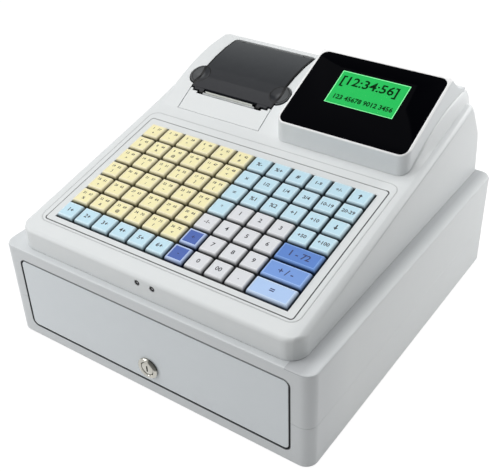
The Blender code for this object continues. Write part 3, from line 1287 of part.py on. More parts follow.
def make_power():
    w, h = INLET_HALF_X - WALL / 2, INLET_HALF_Z - WALL / 2
    lip = WALL / 2
    body = rear_slab(rect(INLET_X - w, INLET_X + w, -h, h), -INLET_DEPTH, -FIT)
    inlet = solid("power_inlet", body, black())
    flange = rect(INLET_X - w - lip, INLET_X + w + lip, -h, h)
    join(inlet, rear_slab(flange, -WALL * 1.4, -FIT))
    socket = circle(INLET_X - w / 2, 0, INLET_HALF_Z / 2, 16)
    rx = INLET_X + w / 2
    across, up = ROCKER_HALF_X + FIT * 2, ROCKER_HALF_Z + FIT * 2
    pocket = rect(rx - across, rx + across, -up, up)
    cut(inlet, rear_slab(socket, -INLET_DEPTH / 2, WALL), rear_slab(pocket, -INLET_DEPTH / 2, WALL))
    pin = circle(INLET_X - w / 2, 0, INLET_HALF_Z / 9, 8)
    join(inlet, rear_slab(pin, -INLET_DEPTH / 2 - WALL / 2, -WALL))
    axis = rear_point(rx, 0, -WALL)
    half, high = ROCKER_HALF_X, ROCKER_HALF_Z
    pivot = -WALL
    line = [(-high, pivot - WALL * 0.2), (-high * 0.95, pivot + WALL * 0.1), (0, -WALL * 0.45)]
    tip = (high * math.cos(ROCKER_SWING) * 0.95, pivot + high * math.sin(ROCKER_SWING) + WALL * 0.1)
    line += [tip, (high * 0.9, pivot - WALL * 0.2), (0, pivot - WALL)]
    rings = [[rear_point(x, up, out) for up, out in line] for x in (rx - half, rx + half)]
    solid("power_rocker", loft(rings), black(), axis)


def build():
    for obj in list(bpy.data.objects):
        bpy.data.objects.remove(obj)
    make_base()
    make_drawer()
    make_tray()
    make_lock()
    make_latch()
    make_spring()
    make_console()
    make_keyboard()
    make_printer()
    make_display()
    make_lamps()
    make_board()
    make_power()
    for obj in bpy.data.objects:
        obj.location.y += SHIFT_Y


build()
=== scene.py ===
"""Looks of a ticket register: a two-part base with a cash drawer, a sloping keyboard, a ticket printer and a display.

Metres, +Z up, X to the operator's right, -Y to the front. Each section below is one piece, or one group of like
pieces, in the order in which the register is put together.
"""

import json
import math

import bmesh
import bpy
from mathutils import Matrix, Vector

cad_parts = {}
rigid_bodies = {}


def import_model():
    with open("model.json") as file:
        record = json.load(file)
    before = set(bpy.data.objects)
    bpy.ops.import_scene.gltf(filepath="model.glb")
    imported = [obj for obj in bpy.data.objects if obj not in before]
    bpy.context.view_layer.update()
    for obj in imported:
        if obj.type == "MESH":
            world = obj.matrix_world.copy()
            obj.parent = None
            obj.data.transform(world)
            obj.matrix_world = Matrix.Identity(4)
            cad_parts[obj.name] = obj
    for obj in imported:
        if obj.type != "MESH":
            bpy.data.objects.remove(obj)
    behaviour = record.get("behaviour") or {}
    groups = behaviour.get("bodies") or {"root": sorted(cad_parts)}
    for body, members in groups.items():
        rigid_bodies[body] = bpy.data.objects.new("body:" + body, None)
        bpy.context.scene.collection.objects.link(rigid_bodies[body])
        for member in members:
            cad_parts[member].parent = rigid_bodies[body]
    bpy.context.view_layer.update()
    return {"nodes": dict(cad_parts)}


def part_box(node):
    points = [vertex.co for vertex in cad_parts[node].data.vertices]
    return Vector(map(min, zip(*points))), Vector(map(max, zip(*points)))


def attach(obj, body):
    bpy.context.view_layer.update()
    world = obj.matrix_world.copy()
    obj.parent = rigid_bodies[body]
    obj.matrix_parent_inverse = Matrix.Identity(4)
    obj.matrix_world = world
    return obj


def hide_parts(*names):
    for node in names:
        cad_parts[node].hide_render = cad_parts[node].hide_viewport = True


for thing in list(bpy.data.objects):
    bpy.data.objects.remove(thing)
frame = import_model()
scene = bpy.context.scene

# Camera
# It stands in front, at the operator's right hand and well above the counter, and leans by two degrees, as the
# photograph does.
CAMERA_ROLL = -0.0396
camera = bpy.data.objects.new("camera", bpy.data.cameras.new("camera"))
scene.collection.objects.link(camera)
scene.camera = camera
camera.data.lens = 63.98
camera.data.sensor_width = 36
camera.data.clip_start = 0.05
eye = Vector((0.39997, -0.57105, 0.55763))
aim = Vector((-0.06624, 0.06907, 0.002))
turn = (aim - eye).to_track_quat("-Z", "Y").to_matrix() @ Matrix.Rotation(CAMERA_ROLL, 3, "Z")
camera.matrix_world = Matrix.Translation(eye) @ turn.to_4x4()

# Floor and light
# A plain white sheet that the camera sees as white paper, and soft lamps above, in front and at the right.
SHEET_GREY, SHEET_GLOW, GLOW_SHARE = 0.74, 1.15, 0.82
SKY_MIRRORED, SKY_UNSEEN = 0.75, 0.26
LAMP_AIM = Vector((0, 0, 0.1))
BROAD_GRAIN = 0.08
bpy.ops.mesh.primitive_plane_add(size=12, location=(0, 0, 0))
floor = bpy.context.object
floor.name = "floor"


class Paint:
    """A socket of a material that takes part in sums and comparisons like a number."""

    def __init__(self, tree, socket=None):
        self.tree, self.socket = tree, socket

    def node(self, kind, settings=None, inputs=None, out=0):
        """Adds a node, sets or links its inputs, and gives one of its outputs."""
        made = self.tree.nodes.new(kind)
        for key, value in (settings or {}).items():
            setattr(made, key, value)
        for key, value in (inputs or {}).items():
            if isinstance(value, Paint):
                self.tree.links.new(value.socket, made.inputs[key])
            else:
                made.inputs[key].default_value = value
        return Paint(self.tree, made.outputs[out])

    def beside(self):
        """All outputs of the node that this one comes from, by name."""
        return {socket.name: Paint(self.tree, socket) for socket in self.socket.node.outputs}

    def axes(self):
        """The X, Y and Z of a place."""
        return self.node("ShaderNodeSeparateXYZ", inputs={0: self}).beside()

    def work(self, operation, *values):
        """One step of arithmetic as a node."""
        return self.node("ShaderNodeMath", {"operation": operation}, dict(enumerate(values)))

    def at_least(self, other):
        return self.work("MAXIMUM", self, other)

    def at_most(self, other):
        return self.work("MINIMUM", self, other)

    def held(self):
        """Held between 0 and 1."""
        return self.at_least(0.0).at_most(1.0)

    def __add__(self, other):
        return self.work("ADD", self, other)

    def __sub__(self, other):
        return self.work("SUBTRACT", self, other)

    def __rsub__(self, other):
        return self.work("SUBTRACT", other, self)

    def __mul__(self, other):
        return self.work("MULTIPLY", self, other)

    def __truediv__(self, other):
        return self.work("DIVIDE", self, other)

    def __lt__(self, other):
        return self.work("LESS_THAN", self, other)

    def __gt__(self, other):
        return self.work("GREATER_THAN", self, other)

    def __abs__(self):
        return self.work("ABSOLUTE", self)


def plain_finish(name, colour, roughness, metallic=0.0, **others):
    """A plain material, its shader, and the place on the piece as a Paint."""
    finish = bpy.data.materials.new(name)
    finish.use_nodes = True
    tree = finish.node_tree
    shader = tree.nodes["Principled BSDF"]
    shader.inputs["Base Color"].default_value = (*colour, 1)
    shader.inputs["Roughness"].default_value = roughness
    shader.inputs["Metallic"].default_value = metallic
    for key, value in others.items():
        shader.inputs[key.replace("_", " ")].default_value = value
    place = Paint(tree).node("ShaderNodeTexCoord", out=3)
    return finish, shader, place


def feed(shader, name, paint):
    """Links a Paint to one of a shader's inputs."""
    paint.tree.links.new(paint.socket, shader.inputs[name])


def grain(shader, place, size, depth, roughness, spread, stretch=(1, 1, 1)):
    """Fine relief and uneven gloss, the way a moulded, rolled or cast surface has them."""
    along = place.node("ShaderNodeMapping", inputs={0: place, 3: stretch})
    fine = place.node("ShaderNodeTexNoise", inputs={"Vector": along, "Scale": 1 / size, "Detail": 4.0})
    broad = place.node("ShaderNodeTexNoise", inputs={"Vector": along, "Scale": BROAD_GRAIN / size, "Detail": 2.0})
    feed(shader, "Roughness", (fine * 0.4 + broad * 0.6 - 0.5) * spread + roughness)
    bump = place.node("ShaderNodeBump", inputs={"Strength": 0.35, "Distance": depth, "Height": fine})
    feed(shader, "Normal", bump)
    return fine, broad


def shade(paint, colour, other, share):
    """One colour run into another by a share from 0 to 1."""
    first, second = (end if isinstance(end, Paint) else (*end, 1) for end in (colour, other))
    return paint.node("ShaderNodeMix", {"data_type": "RGBA"}, {0: share, 6: first, 7: second}, out=2)


def distance(across, along):
    """The length of a step from its two parts."""
    return across.work("SQRT", across * across + along * along)


def seam(place, axes, middle, half, corner, width, strength=1.0):
    """A share that is full on a rounded rectangle's line and falls to 0 at a width from it."""
    apart = place.axes()
    over = [abs(apart[axis] - centre) - (reach - corner) for axis, centre, reach in zip(axes, middle, half)]
    inside = over[0].at_least(over[1]).at_most(0.0)
    away = distance(over[0].at_least(0.0), over[1].at_least(0.0)) + inside - corner
    return ((1.0 - abs(away) / width) * strength).held()


white, shader, place = plain_finish("white sheet", (SHEET_GREY, SHEET_GREY, SHEET_GREY), 0.9)
tree = white.node_tree
rays = place.node("ShaderNodeLightPath").beside()
seen = rays["Is Camera Ray"] + rays["Is Glossy Ray"] + rays["Is Transmission Ray"]
glow = place.node("ShaderNodeEmission", inputs={"Color": (1, 1, 1, 1), "Strength": SHEET_GLOW})
sheet = Paint(tree, shader.outputs[0])
mixed = place.node("ShaderNodeMixShader", inputs={0: seen.at_most(1.0) * GLOW_SHARE, 1: sheet, 2: glow})
tree.links.new(mixed.socket, tree.nodes["Material Output"].inputs["Surface"])
floor.data.materials.append(white)

world = bpy.data.worlds.new("studio")
scene.world = world
world.use_nodes = True
tree = world.node_tree
rays = Paint(tree).node("ShaderNodeLightPath").beside()
seen = rays["Is Camera Ray"] + rays["Is Glossy Ray"] * SKY_MIRRORED + rays["Is Transmission Ray"]
strength = seen.at_most(1.0) * (1 - SKY_UNSEEN) + SKY_UNSEEN
tree.links.new(strength.socket, tree.nodes["Background"].inputs["Strength"])
tree.nodes["Background"].inputs["Color"].default_value = (1, 1, 1, 1)
for name, spot, size, power in (
    ("lamp above", (-0.35, -0.1, 1.5), 1.3, 13.6),
    ("lamp right", (0.47, 0.55, 0.4), 0.3, 2.2),
    ("lamp front", (-0.7, -0.75, 0.45), 0.5, 2.9),
):
    light = bpy.data.lights.new(name, "AREA")
    light.energy = power
    light.size = size
    lamp = bpy.data.objects.new(name, light)
    scene.collection.objects.link(lamp)
    lamp.location = spot
    lamp.visible_camera = False
    lamp.rotation_euler = (LAMP_AIM - Vector(spot)).to_track_quat("-Z", "Y").to_euler()
scene.view_settings.view_transform = "Standard"

# Base
# Two moulded halves of the same pale plastic meet on a line all round; they hold the drawer and carry the console.
MOUTH_Z, UPPER_LINE_Z = 0.05185, 0.0875
FRONT_WALL_Y = -0.15
FRONT_SHADE_Y, FRONT_SHADE_DEPTH = -0.11, 0.04
LEDGE_X, LEDGE_Z = 0.14, 0.1005
LEDGE_SHADE_X, LEDGE_SHADE_WIDTH = 0.1625, 0.009
SAME_POINT = 0.00001
SAME_PLANE = math.radians(0.6)


def only(piece):
    """Leaves one object selected and active."""
    bpy.ops.object.select_all(action="DESELECT")
    piece.select_set(True)
    bpy.context.view_layer.objects.active = piece


def fit(piece, name, body, finish, slot, *nodes):
    """Names a finished piece, gives it its material, and hangs it on the body that carries it."""
    piece.name = name
    piece.data.name = name
    piece.data.materials.clear()
    piece.data.materials.append(finish)
    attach(piece, body)
    if nodes:
        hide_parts(*nodes)
    return piece


def break_edges(piece, width, segments, angle):
    """Rounds the edges of the active piece that turn by more than an angle in degrees."""
    edge = piece.modifiers.new("edge", "BEVEL")
    edge.width = width
    edge.segments = segments
    edge.limit_method = "ANGLE"
    edge.angle_limit = math.radians(angle)
    bpy.ops.object.modifier_apply(modifier="edge")


def flats_first(piece):
    """Lets large flat faces keep their own direction beside small rounds."""
    steady = piece.modifiers.new("normals", "WEIGHTED_NORMAL")
    steady.keep_sharp = True
    bpy.ops.object.modifier_apply(modifier="normals")


def moulding(node, name, body, finish, slot, radius, angle=32, smooth=40):
    """The shape of a moulded or pressed solid, with its edges broken by a small radius."""
    piece = bpy.data.objects.new(name, frame["nodes"][node].data.copy())
    scene.collection.objects.link(piece)
    only(piece)
    bpy.ops.object.mode_set(mode="EDIT")
    bpy.ops.mesh.select_all(action="SELECT")
    bpy.ops.mesh.remove_doubles(threshold=SAME_POINT)
    bpy.ops.mesh.dissolve_limited(angle_limit=SAME_PLANE)
    bpy.ops.object.mode_set(mode="OBJECT")
    if radius:
        break_edges(piece, radius, 2, angle)
    bpy.ops.object.shade_smooth_by_angle(angle=math.radians(smooth))
    flats_first(piece)
    return fit(piece, name, body, finish, slot, node)


def pale_plastic(name, dark=(0.745, 0.772, 0.778), light=(0.775, 0.797, 0.80)):
    """The register's pale plastic: material, shader, the place on the piece, and a colour that wavers a little."""
    finish, shader, place = plain_finish(name, (0.76, 0.785, 0.79), 0.42)
    broad = grain(shader, place, size=0.0009, depth=0.00006, roughness=0.42, spread=0.16)[1]
    return finish, shader, place, shade(place, dark, light, broad)


base_plastic, shader, place, pale = pale_plastic("pale base plastic")
apart = place.axes()
# Painted shade: a dark line round the drawer opening where the gap lies in shadow, fainter along the top; the front
# painted darker, as if in the console's shade; and a painted shadow on the base's top beside the console's right
# flank.
drawer_gap_shade = seam(place, "XZ", middle=(0, MOUTH_Z), half=(0.1457, 0.03865), corner=0.0062, width=0.0007, strength=3.0)
drawer_gap_shade = drawer_gap_shade * (apart["Y"] < FRONT_WALL_Y) * (1.0 - (apart["Z"] > UPPER_LINE_Z) * 0.3)
shade_towards_front = ((FRONT_SHADE_Y - apart["Y"]) / FRONT_SHADE_DEPTH).held()
pale = shade(place, pale, (0.66, 0.685, 0.70), shade_towards_front * 0.8)
ledge_shadow = ((LEDGE_SHADE_X - apart["X"]) / LEDGE_SHADE_WIDTH).held()
ledge_shadow = ledge_shadow * (apart["X"] > LEDGE_X) * (apart["Z"] > LEDGE_Z)
pale = shade(place, pale, (0.47, 0.485, 0.50), ledge_shadow * 0.8)
feed(shader, "Base Color", shade(place, pale, (0.06, 0.065, 0.07), drawer_gap_shade))
moulding("base_pan", "base_lower_half", "case", base_plastic, "housing", radius=0.0003)
moulding("base_cover", "base_upper_half", "case", base_plastic, "housing", radius=0.0003)

# Feet
# Four black rubber buttons, each held by a peg pressed into the floor of the base.


def grained(
    name, colour, roughness, size, depth, spread, shades=None, fine=False, metallic=0.0, stretch=(1, 1, 1), **others,
):
    """A plain finish with grain; its colour may waver between two shades, in fine or in broad patches."""
    finish, shader, place = plain_finish(name, colour, roughness, metallic, **others)
    patches = grain(shader, place, size, depth, roughness, spread, stretch)
    if shades:
        feed(shader, "Base Color", shade(place, *shades, patches[0 if fine else 1]))
    return finish


foot_rubber = grained(
    "foot rubber", (0.035, 0.035, 0.037), roughness=0.85, size=0.0006, depth=0.0001, spread=0.2,
    shades=((0.028, 0.028, 0.03), (0.05, 0.05, 0.052)), fine=True,
)
for corner in ("front_left", "front_right", "rear_left", "rear_right"):
    moulding(f"foot_{corner}", f"rubber_foot_{corner}", "case", foot_rubber, "foot_rubber", radius=0.0004)

# Runners, latch and ejector spring
# Zinc-plated pressings screwed to the base's walls guide the drawer, hold it shut and push it out.
plated_steel = grained(
    "zinc-plated steel", (0.60, 0.61, 0.62), roughness=0.32, size=0.0007, depth=0.00002, spread=0.25,
    shades=((0.52, 0.53, 0.54), (0.68, 0.69, 0.69)), metallic=1.0, stretch=(1, 0.08, 1),
)
moulding("runner_left", "drawer_runner_left", "case", plated_steel, "steel", radius=0.0002)
moulding("runner_right", "drawer_runner_right", "case", plated_steel, "steel", radius=0.0002)
moulding("latch_frame", "latch_bracket", "case", plated_steel, "steel", radius=0.0003)
moulding("latch_hook", "latch_hook_arm", "latch", plated_steel, "steel", radius=0.0002)
moulding("ejector_spring", "coil_spring", "case", plated_steel, "steel", radius=0, smooth=75)

# Drawer
# A folded steel tub with side flanges that ride in the runners, closed in front by a moulded plate.
moulding("drawer_box", "drawer_tub", "drawer", plated_steel, "steel", radius=0.0003)
moulding("drawer_striker", "drawer_catch", "drawer", plated_steel, "steel", radius=0.0002)
drawer_plastic, shader, place, pale = pale_plastic(
    "drawer front plastic", dark=(0.725, 0.768, 0.795), light=(0.752, 0.793, 0.818),
)
# Painted shade: a dark line round the face's edges, where the gap to the base lies in shadow, fainter along the top.
drawer_rim_shade = seam(place, "XZ", middle=(0, MOUTH_Z), half=(0.1445, 0.03745), corner=0.005, width=0.0005, strength=3.0)
drawer_rim_shade = drawer_rim_shade * (1.0 - (place.axes()["Z"] > UPPER_LINE_Z) * 0.4)
feed(shader, "Base Color", shade(place, pale, (0.10, 0.105, 0.11), drawer_rim_shade))
moulding("drawer_front", "drawer_face", "drawer", drawer_plastic, "housing", radius=0.0004)

# Cash tray and note clips
# One black moulding with five coin cups and four note slots, and a sprung clip on two ears over each slot.
tray_plastic = grained(
    "tray plastic", (0.03, 0.03, 0.032), roughness=0.5, size=0.0006, depth=0.00005, spread=0.2,
    shades=((0.024, 0.024, 0.026), (0.045, 0.045, 0.048)),
)
moulding("cash_tray", "coin_and_note_tray", "drawer", tray_plastic, "black_plastic", radius=0.0006)
clip_plastic = grained("clip plastic", (0.10, 0.10, 0.11), roughness=0.42, size=0.0006, depth=0.00003, spread=0.2)
for number in range(1, 5):
    moulding(
        f"bill_clip_{number}", f"note_clip_{number}", f"clip_{number}", clip_plastic, "clip_plastic", radius=0.0003,
    )

# Drawer lock
# A chrome-plated cam lock: a turned bezel in the drawer's face, and a core with its key slot that turns inside it.
LOCK_Z = (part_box("lock_core")[0][2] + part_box("lock_core")[1][2]) / 2
BEZEL_RADIUS = (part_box("lock_bezel")[1][2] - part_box("lock_bezel")[0][2]) / 2
CORE_RADIUS = (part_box("lock_core")[1][2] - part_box("lock_core")[0][2]) / 2
DARK_SECTOR = 0.00004
TURNED_SMOOTH = math.radians(35)
TURNED_SAME_POINT = 0.000001
chrome, shader, place = plain_finish("chrome plate", (0.50, 0.49, 0.46), 0.14, 1.0)
broad = grain(shader, place, size=0.0012, depth=0.000004, roughness=0.10, spread=0.08)[1]
apart = place.axes()
# Painted reflection: the upper right of the ring and plug is darkened, like a dark reflection in the chrome.
up = apart["Z"] - LOCK_Z
side = apart["X"].at_least(0.0)
dark_reflection = ((up * side / DARK_SECTOR - 0.35) * 3.0).held()
metal = shade(place, (0.36, 0.35, 0.31), (0.62, 0.61, 0.56), broad)
feed(shader, "Base Color", shade(place, metal, (0.05, 0.05, 0.045), dark_reflection * 0.85))
slot_dark = grained("key slot", (0.015, 0.015, 0.016), roughness=0.6, size=0.0005, depth=0.00001, spread=0.2)


def turned(name, line, centre, segments=64):
    """A body of revolution about an axis along Y, from (radius, y) points."""
    mesh = bpy.data.meshes.new(name)
    mesh.from_pydata([(radius, y, 0) for radius, y in line], [(i, i + 1) for i in range(len(line) - 1)], [])
    piece = bpy.data.objects.new(name, mesh)
    scene.collection.objects.link(piece)
    only(piece)
    bpy.ops.object.mode_set(mode="EDIT")
    bpy.ops.mesh.select_all(action="SELECT")
    bpy.ops.mesh.spin(steps=segments, angle=math.tau, center=(0, 0, 0), axis=(0, 1, 0))
    bpy.ops.mesh.select_all(action="SELECT")
    bpy.ops.mesh.remove_doubles(threshold=TURNED_SAME_POINT)
    bpy.ops.mesh.normals_make_consistent(inside=False)
    bpy.ops.object.mode_set(mode="OBJECT")
    piece.data.transform(Matrix.Translation(centre))
    bpy.ops.object.shade_smooth_by_angle(angle=TURNED_SMOOTH)
    return piece


def carve(piece, *cutters):
    """Takes the cutters' shapes out of the piece and deletes them."""
    only(piece)
    for cutter in cutters:
        tool = piece.modifiers.new("cut", "BOOLEAN")
        tool.operation = "DIFFERENCE"
        tool.object = cutter
        bpy.ops.object.modifier_apply(modifier="cut")
        bpy.data.objects.remove(cutter)


def block(low, high):
    """A box between two corners, used as a start or as a cutter."""
    bpy.ops.object.select_all(action="DESELECT")
    bpy.ops.mesh.primitive_cube_add(size=1)
    piece = bpy.context.object
    middle = (Vector(low) + Vector(high)) / 2
    size = Vector(high) - Vector(low)
    piece.data.transform(Matrix.Translation(middle) @ Matrix.Diagonal((*size, 1)))
    return piece


def rounded(piece, width, segments, angle=30):
    """Breaks the sharp edges of a piece with a radius and smooths what is left."""
    only(piece)
    break_edges(piece, width, segments, angle)
    bpy.ops.object.shade_smooth_by_angle(angle=math.radians(angle + 5))
    flats_first(piece)


low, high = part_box("lock_bezel")
inner = CORE_RADIUS + 0.0004
barrel = BEZEL_RADIUS * 0.838
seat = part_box("drawer_front")[0][1] - 0.0003
lip = [
    (inner, high[1]), (inner, low[1] + 0.0009), (inner + 0.0005, low[1] + 0.0002), (inner + 0.0012, low[1]),
    (BEZEL_RADIUS * 0.84, low[1]), (BEZEL_RADIUS * 0.93, low[1] + 0.0004), (BEZEL_RADIUS, low[1] + 0.0012),
    (BEZEL_RADIUS, seat - 0.0003), (BEZEL_RADIUS * 0.98, seat), (barrel, seat), (barrel, high[1]),
    (inner, high[1]),
]
centre = (0, 0, LOCK_Z)
fit(turned("lock_ring", lip, centre), "lock_ring", "drawer", chrome, "lock_chrome", "lock_bezel")
low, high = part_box("lock_core")
neck_y = high[1] - 0.0062
face = [(0, low[1]), (CORE_RADIUS - 0.0008, low[1]), (CORE_RADIUS - 0.0002, low[1] + 0.0003)]
face += [(CORE_RADIUS, low[1] + 0.0009), (CORE_RADIUS, neck_y), (CORE_RADIUS * 0.5, neck_y)]
face += [(CORE_RADIUS * 0.5, high[1]), (0, high[1])]
core = turned("lock_plug", face, centre)
slot_half, slot_rise = CORE_RADIUS / 8, CORE_RADIUS / 2
depth = low[1] + 0.004
carve(core, block((-slot_half, low[1] - 0.001, LOCK_Z - slot_rise), (slot_half, depth, LOCK_Z + slot_rise)))
bpy.ops.object.shade_smooth_by_angle(angle=TURNED_SMOOTH)
fit(core, "lock_plug", "lock", chrome, "lock_chrome", "lock_core")
sunk = block((-slot_half, depth - 0.0006, LOCK_Z - slot_rise), (slot_half, depth, LOCK_Z + slot_rise))
rounded(sunk, 0.0001, 1)
fit(sunk, "lock_tumblers", "lock", slot_dark, "dark_plastic")
moulding("lock_cam", "lock_tongue", "lock", plated_steel, "steel", radius=0.0002)

# Console
# One large moulding stands on the base: the keyboard's slope in front, the tier with printer and display behind.
PANEL_TILT = math.radians(11.12)
PANEL = Vector((0, 0.0295, 0.1609))
FLANK_X, FLANK_WIDTH = 0.132, 0.012
FLANK_SHADE_Y, FLANK_SHADE_DEPTH = 0.13, 0.24
RIGHT_LINE_X, FRONT_LINE_S = 0.128, -0.1755
FRONT_LINE, FAINT_LINE, CHANNEL_LINE = 0.9, 0.45, 0.28


def tilted(place, origin, tilt):
    """A place as seen from an origin on a surface that rises to the rear."""
    moved = place.node("ShaderNodeVectorMath", {"operation": "SUBTRACT"}, {0: place, 1: origin})
    return place.node("ShaderNodeVectorRotate", {"rotation_type": "X_AXIS"}, {"Vector": moved, "Angle": -tilt})


console_plastic, shader, place, pale = pale_plastic("pale console plastic")
apart = place.axes()
# Painted shade: the right flank is painted darker towards the front.
outward = ((apart["X"] - FLANK_X) / FLANK_WIDTH).held()
shade_towards_front = ((FLANK_SHADE_Y - apart["Y"]) / FLANK_SHADE_DEPTH).held()
pale = shade(place, pale, (0.60, 0.625, 0.63), outward * shade_towards_front * 0.5)
# Painted shade: dark lines where the gap round the key surround lies in shadow, strongest at the right and the front,
# and a fainter line in the sunk channel beside it.
on_slope = tilted(place, PANEL, PANEL_TILT)
joint_shade = seam(on_slope, "XY", middle=(0, -0.0994), half=(0.1317, 0.07975), corner=0.003, width=0.0007, strength=3.0)
channel = seam(on_slope, "XY", middle=(0, -0.0960), half=(0.1370, 0.0860), corner=0.009, width=0.0007)
apart = on_slope.axes()
frontmost = (apart["Y"] < FRONT_LINE_S) * FRONT_LINE
joint_shade = joint_shade * (apart["X"] > RIGHT_LINE_X).at_least(frontmost).at_least(FAINT_LINE)
groove_shade = joint_shade.at_least(channel * CHANNEL_LINE)
feed(shader, "Base Color", shade(place, pale, (0.05, 0.052, 0.055), groove_shade))
sunk = place.node("ShaderNodeBump", inputs={"Strength": 1.0, "Distance": 0.0004, "Height": 1.0 - channel})
grain_bump = shader.inputs["Normal"].links[0].from_node
console_plastic.node_tree.links.new(sunk.socket, grain_bump.inputs["Normal"])
moulding("console_case", "console_shell", "case", console_plastic, "housing", radius=0.0004, angle=32, smooth=48)

# Circuit board
# A green glass-fibre board on four posts under the console, with its chips and transformer.
board_green, shader, place = plain_finish("solder mask", (0.03, 0.16, 0.07), 0.35)
grain(shader, place, size=0.0012, depth=0.00002, roughness=0.35, spread=0.15)
tracks = {"Vector": place, "Scale": 160.0, "Mortar Size": 0.012}
lines = place.node("ShaderNodeTexBrick", {"offset": 0.5}, tracks, out=1)
feed(shader, "Base Color", shade(place, (0.025, 0.14, 0.06), (0.10, 0.33, 0.14), lines * 0.8))
moulding("main_board", "circuit_board", "case", board_green, "circuit_board", radius=0.0001)

# Power inlet and rocker switch
# A black socket block is clipped into the rear wall, with a rocker that tips on its pivot beside the socket.
black_moulding = grained(
    "black moulding", (0.022, 0.022, 0.024), roughness=0.38, size=0.0005, depth=0.00003, spread=0.2,
    shades=((0.018, 0.018, 0.02), (0.034, 0.034, 0.037)),
)
moulding("power_inlet", "power_socket", "case", black_moulding, "black_plastic", radius=0.0003)
moulding("power_rocker", "rocker_switch", "rocker", black_moulding, "black_plastic", radius=0.0004)

# Indicator lamps
# Two small dark lenses stand in the console's front wall, held by flanges behind it.
GLINT_RADIUS = 0.0006
LENS_SHARE, LENS_RISE, LENS_STEPS = 0.62, 0.0008, 5
lens_plastic, shader, place = plain_finish("lamp lens", (0.05, 0.05, 0.055), 0.12, Coat_Weight=0.6)
grain(shader, place, size=0.0004, depth=0.000004, roughness=0.12, spread=0.06)
low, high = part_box("lamp_left")[0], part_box("lamp_right")[1]
between = (low + high) / 2
spread = (high[0] - low[0] - (high[2] - low[2])) / 2
apart = place.axes()
# Painted glint: a light spot in the middle of each dark lens.
across = abs(abs(apart["X"] - between[0]) - spread)
glint = distance(across, apart["Z"] - between[2]) < GLINT_RADIUS
feed(shader, "Base Color", shade(place, (0.006, 0.006, 0.008), (0.42, 0.42, 0.44), glint))
for side in ("left", "right"):
    low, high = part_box(f"lamp_{side}")
    middle = (low + high) / 2
    radius = (high[0] - low[0]) / 2 - 0.0003
    dome = [(0, low[1] + 0.0001)]
    for step in range(1, LENS_STEPS + 1):
        turn = math.pi / 2 * step / LENS_STEPS
        dome.append((radius * LENS_SHARE * math.sin(turn), low[1] + 0.0009 - LENS_RISE * math.cos(turn)))
    dome += [(radius * 0.7, low[1] + 0.0009), (radius * 0.76, low[1] + 0.0002), (radius * 0.94, low[1])]
    dome += [(radius, low[1] + 0.0003), (radius, high[1] - 0.003), (radius + 0.0003, high[1] - 0.003)]
    dome += [(radius + 0.0003, high[1]), (0, high[1])]
    lamp = turned(f"lamp_lens_{side}", dome, (middle[0], 0, middle[2]), 40)
    fit(lamp, f"lamp_lens_{side}", "case", lens_plastic, "dark_plastic", f"lamp_{side}")

# Key surround and key plate
# A thin moulded frame lies flush in the console's slope, and below it a dark plate guides the square key stems.
COLUMNS, ROWS = 12, 7
PITCH_X, PITCH_S = 0.0206, 0.0207033
FIRST_X, FIRST_S = -0.1226, -0.02925
CAP = 0.0184
CAP_TOP, CAP_LOW = 0.0031, -0.0044
STEM, STEM_END = 0.006, -0.0135
PLATE_TOP, PLATE_LOW = -0.0085, -0.0105
PLATE_HALF, PLATE_FRONT, PLATE_REAR, PLATE_WALL = 0.1262, -0.1755, -0.0245, 0.0018
STEM_PLAY = 0.0004
ON_SLOPE = Matrix.Translation(PANEL) @ Matrix.Rotation(PANEL_TILT, 4, "X")
moulding("key_panel", "key_surround", "case", console_plastic, "housing", radius=0.00025)
dark_moulding = grained(
    "dark moulding", (0.035, 0.037, 0.04), roughness=0.55, size=0.0006, depth=0.00003, spread=0.2,
    shades=((0.03, 0.032, 0.034), (0.05, 0.052, 0.056)),
)


def cap_place(column, row, span):
    """The middle of a key on the slope: x across and s up it."""
    width = CAP + (span - 1) * PITCH_X
    return FIRST_X + column * PITCH_X + width / 2, FIRST_S - row * PITCH_S - CAP / 2


plate = block((-PLATE_HALF, PLATE_FRONT, PLATE_LOW), (PLATE_HALF, PLATE_REAR, -0.0019))
inside = PLATE_HALF - PLATE_WALL
carve(plate, block((-inside, PLATE_FRONT + PLATE_WALL, PLATE_TOP), (inside, PLATE_REAR - PLATE_WALL, 0.001)))
wide_keys = {(10, 4), (10, 5), (10, 6)}
key_cells = [(c, r, 2 if (c, r) in wide_keys else 1) for r in range(ROWS) for c in range(COLUMNS)]
key_cells = [cell for cell in key_cells if (cell[0] - 1, cell[1]) not in wide_keys]
half = STEM / 2 + STEM_PLAY
bushes = []
for column, row, span in key_cells:
    x, s = cap_place(column, row, span)
    bushes.append(block((x - half, s - half, PLATE_LOW - 0.002), (x + half, s + half, PLATE_TOP + 0.002)))
bpy.ops.object.select_all(action="DESELECT")
for bush in bushes:
    bush.select_set(True)
bpy.context.view_layer.objects.active = bushes[0]
bpy.ops.object.join()
carve(plate, bushes[0])
plate.data.transform(ON_SLOPE)
fit(plate, "key_guide_plate", "case", dark_moulding, "dark_plastic", "key_plate")

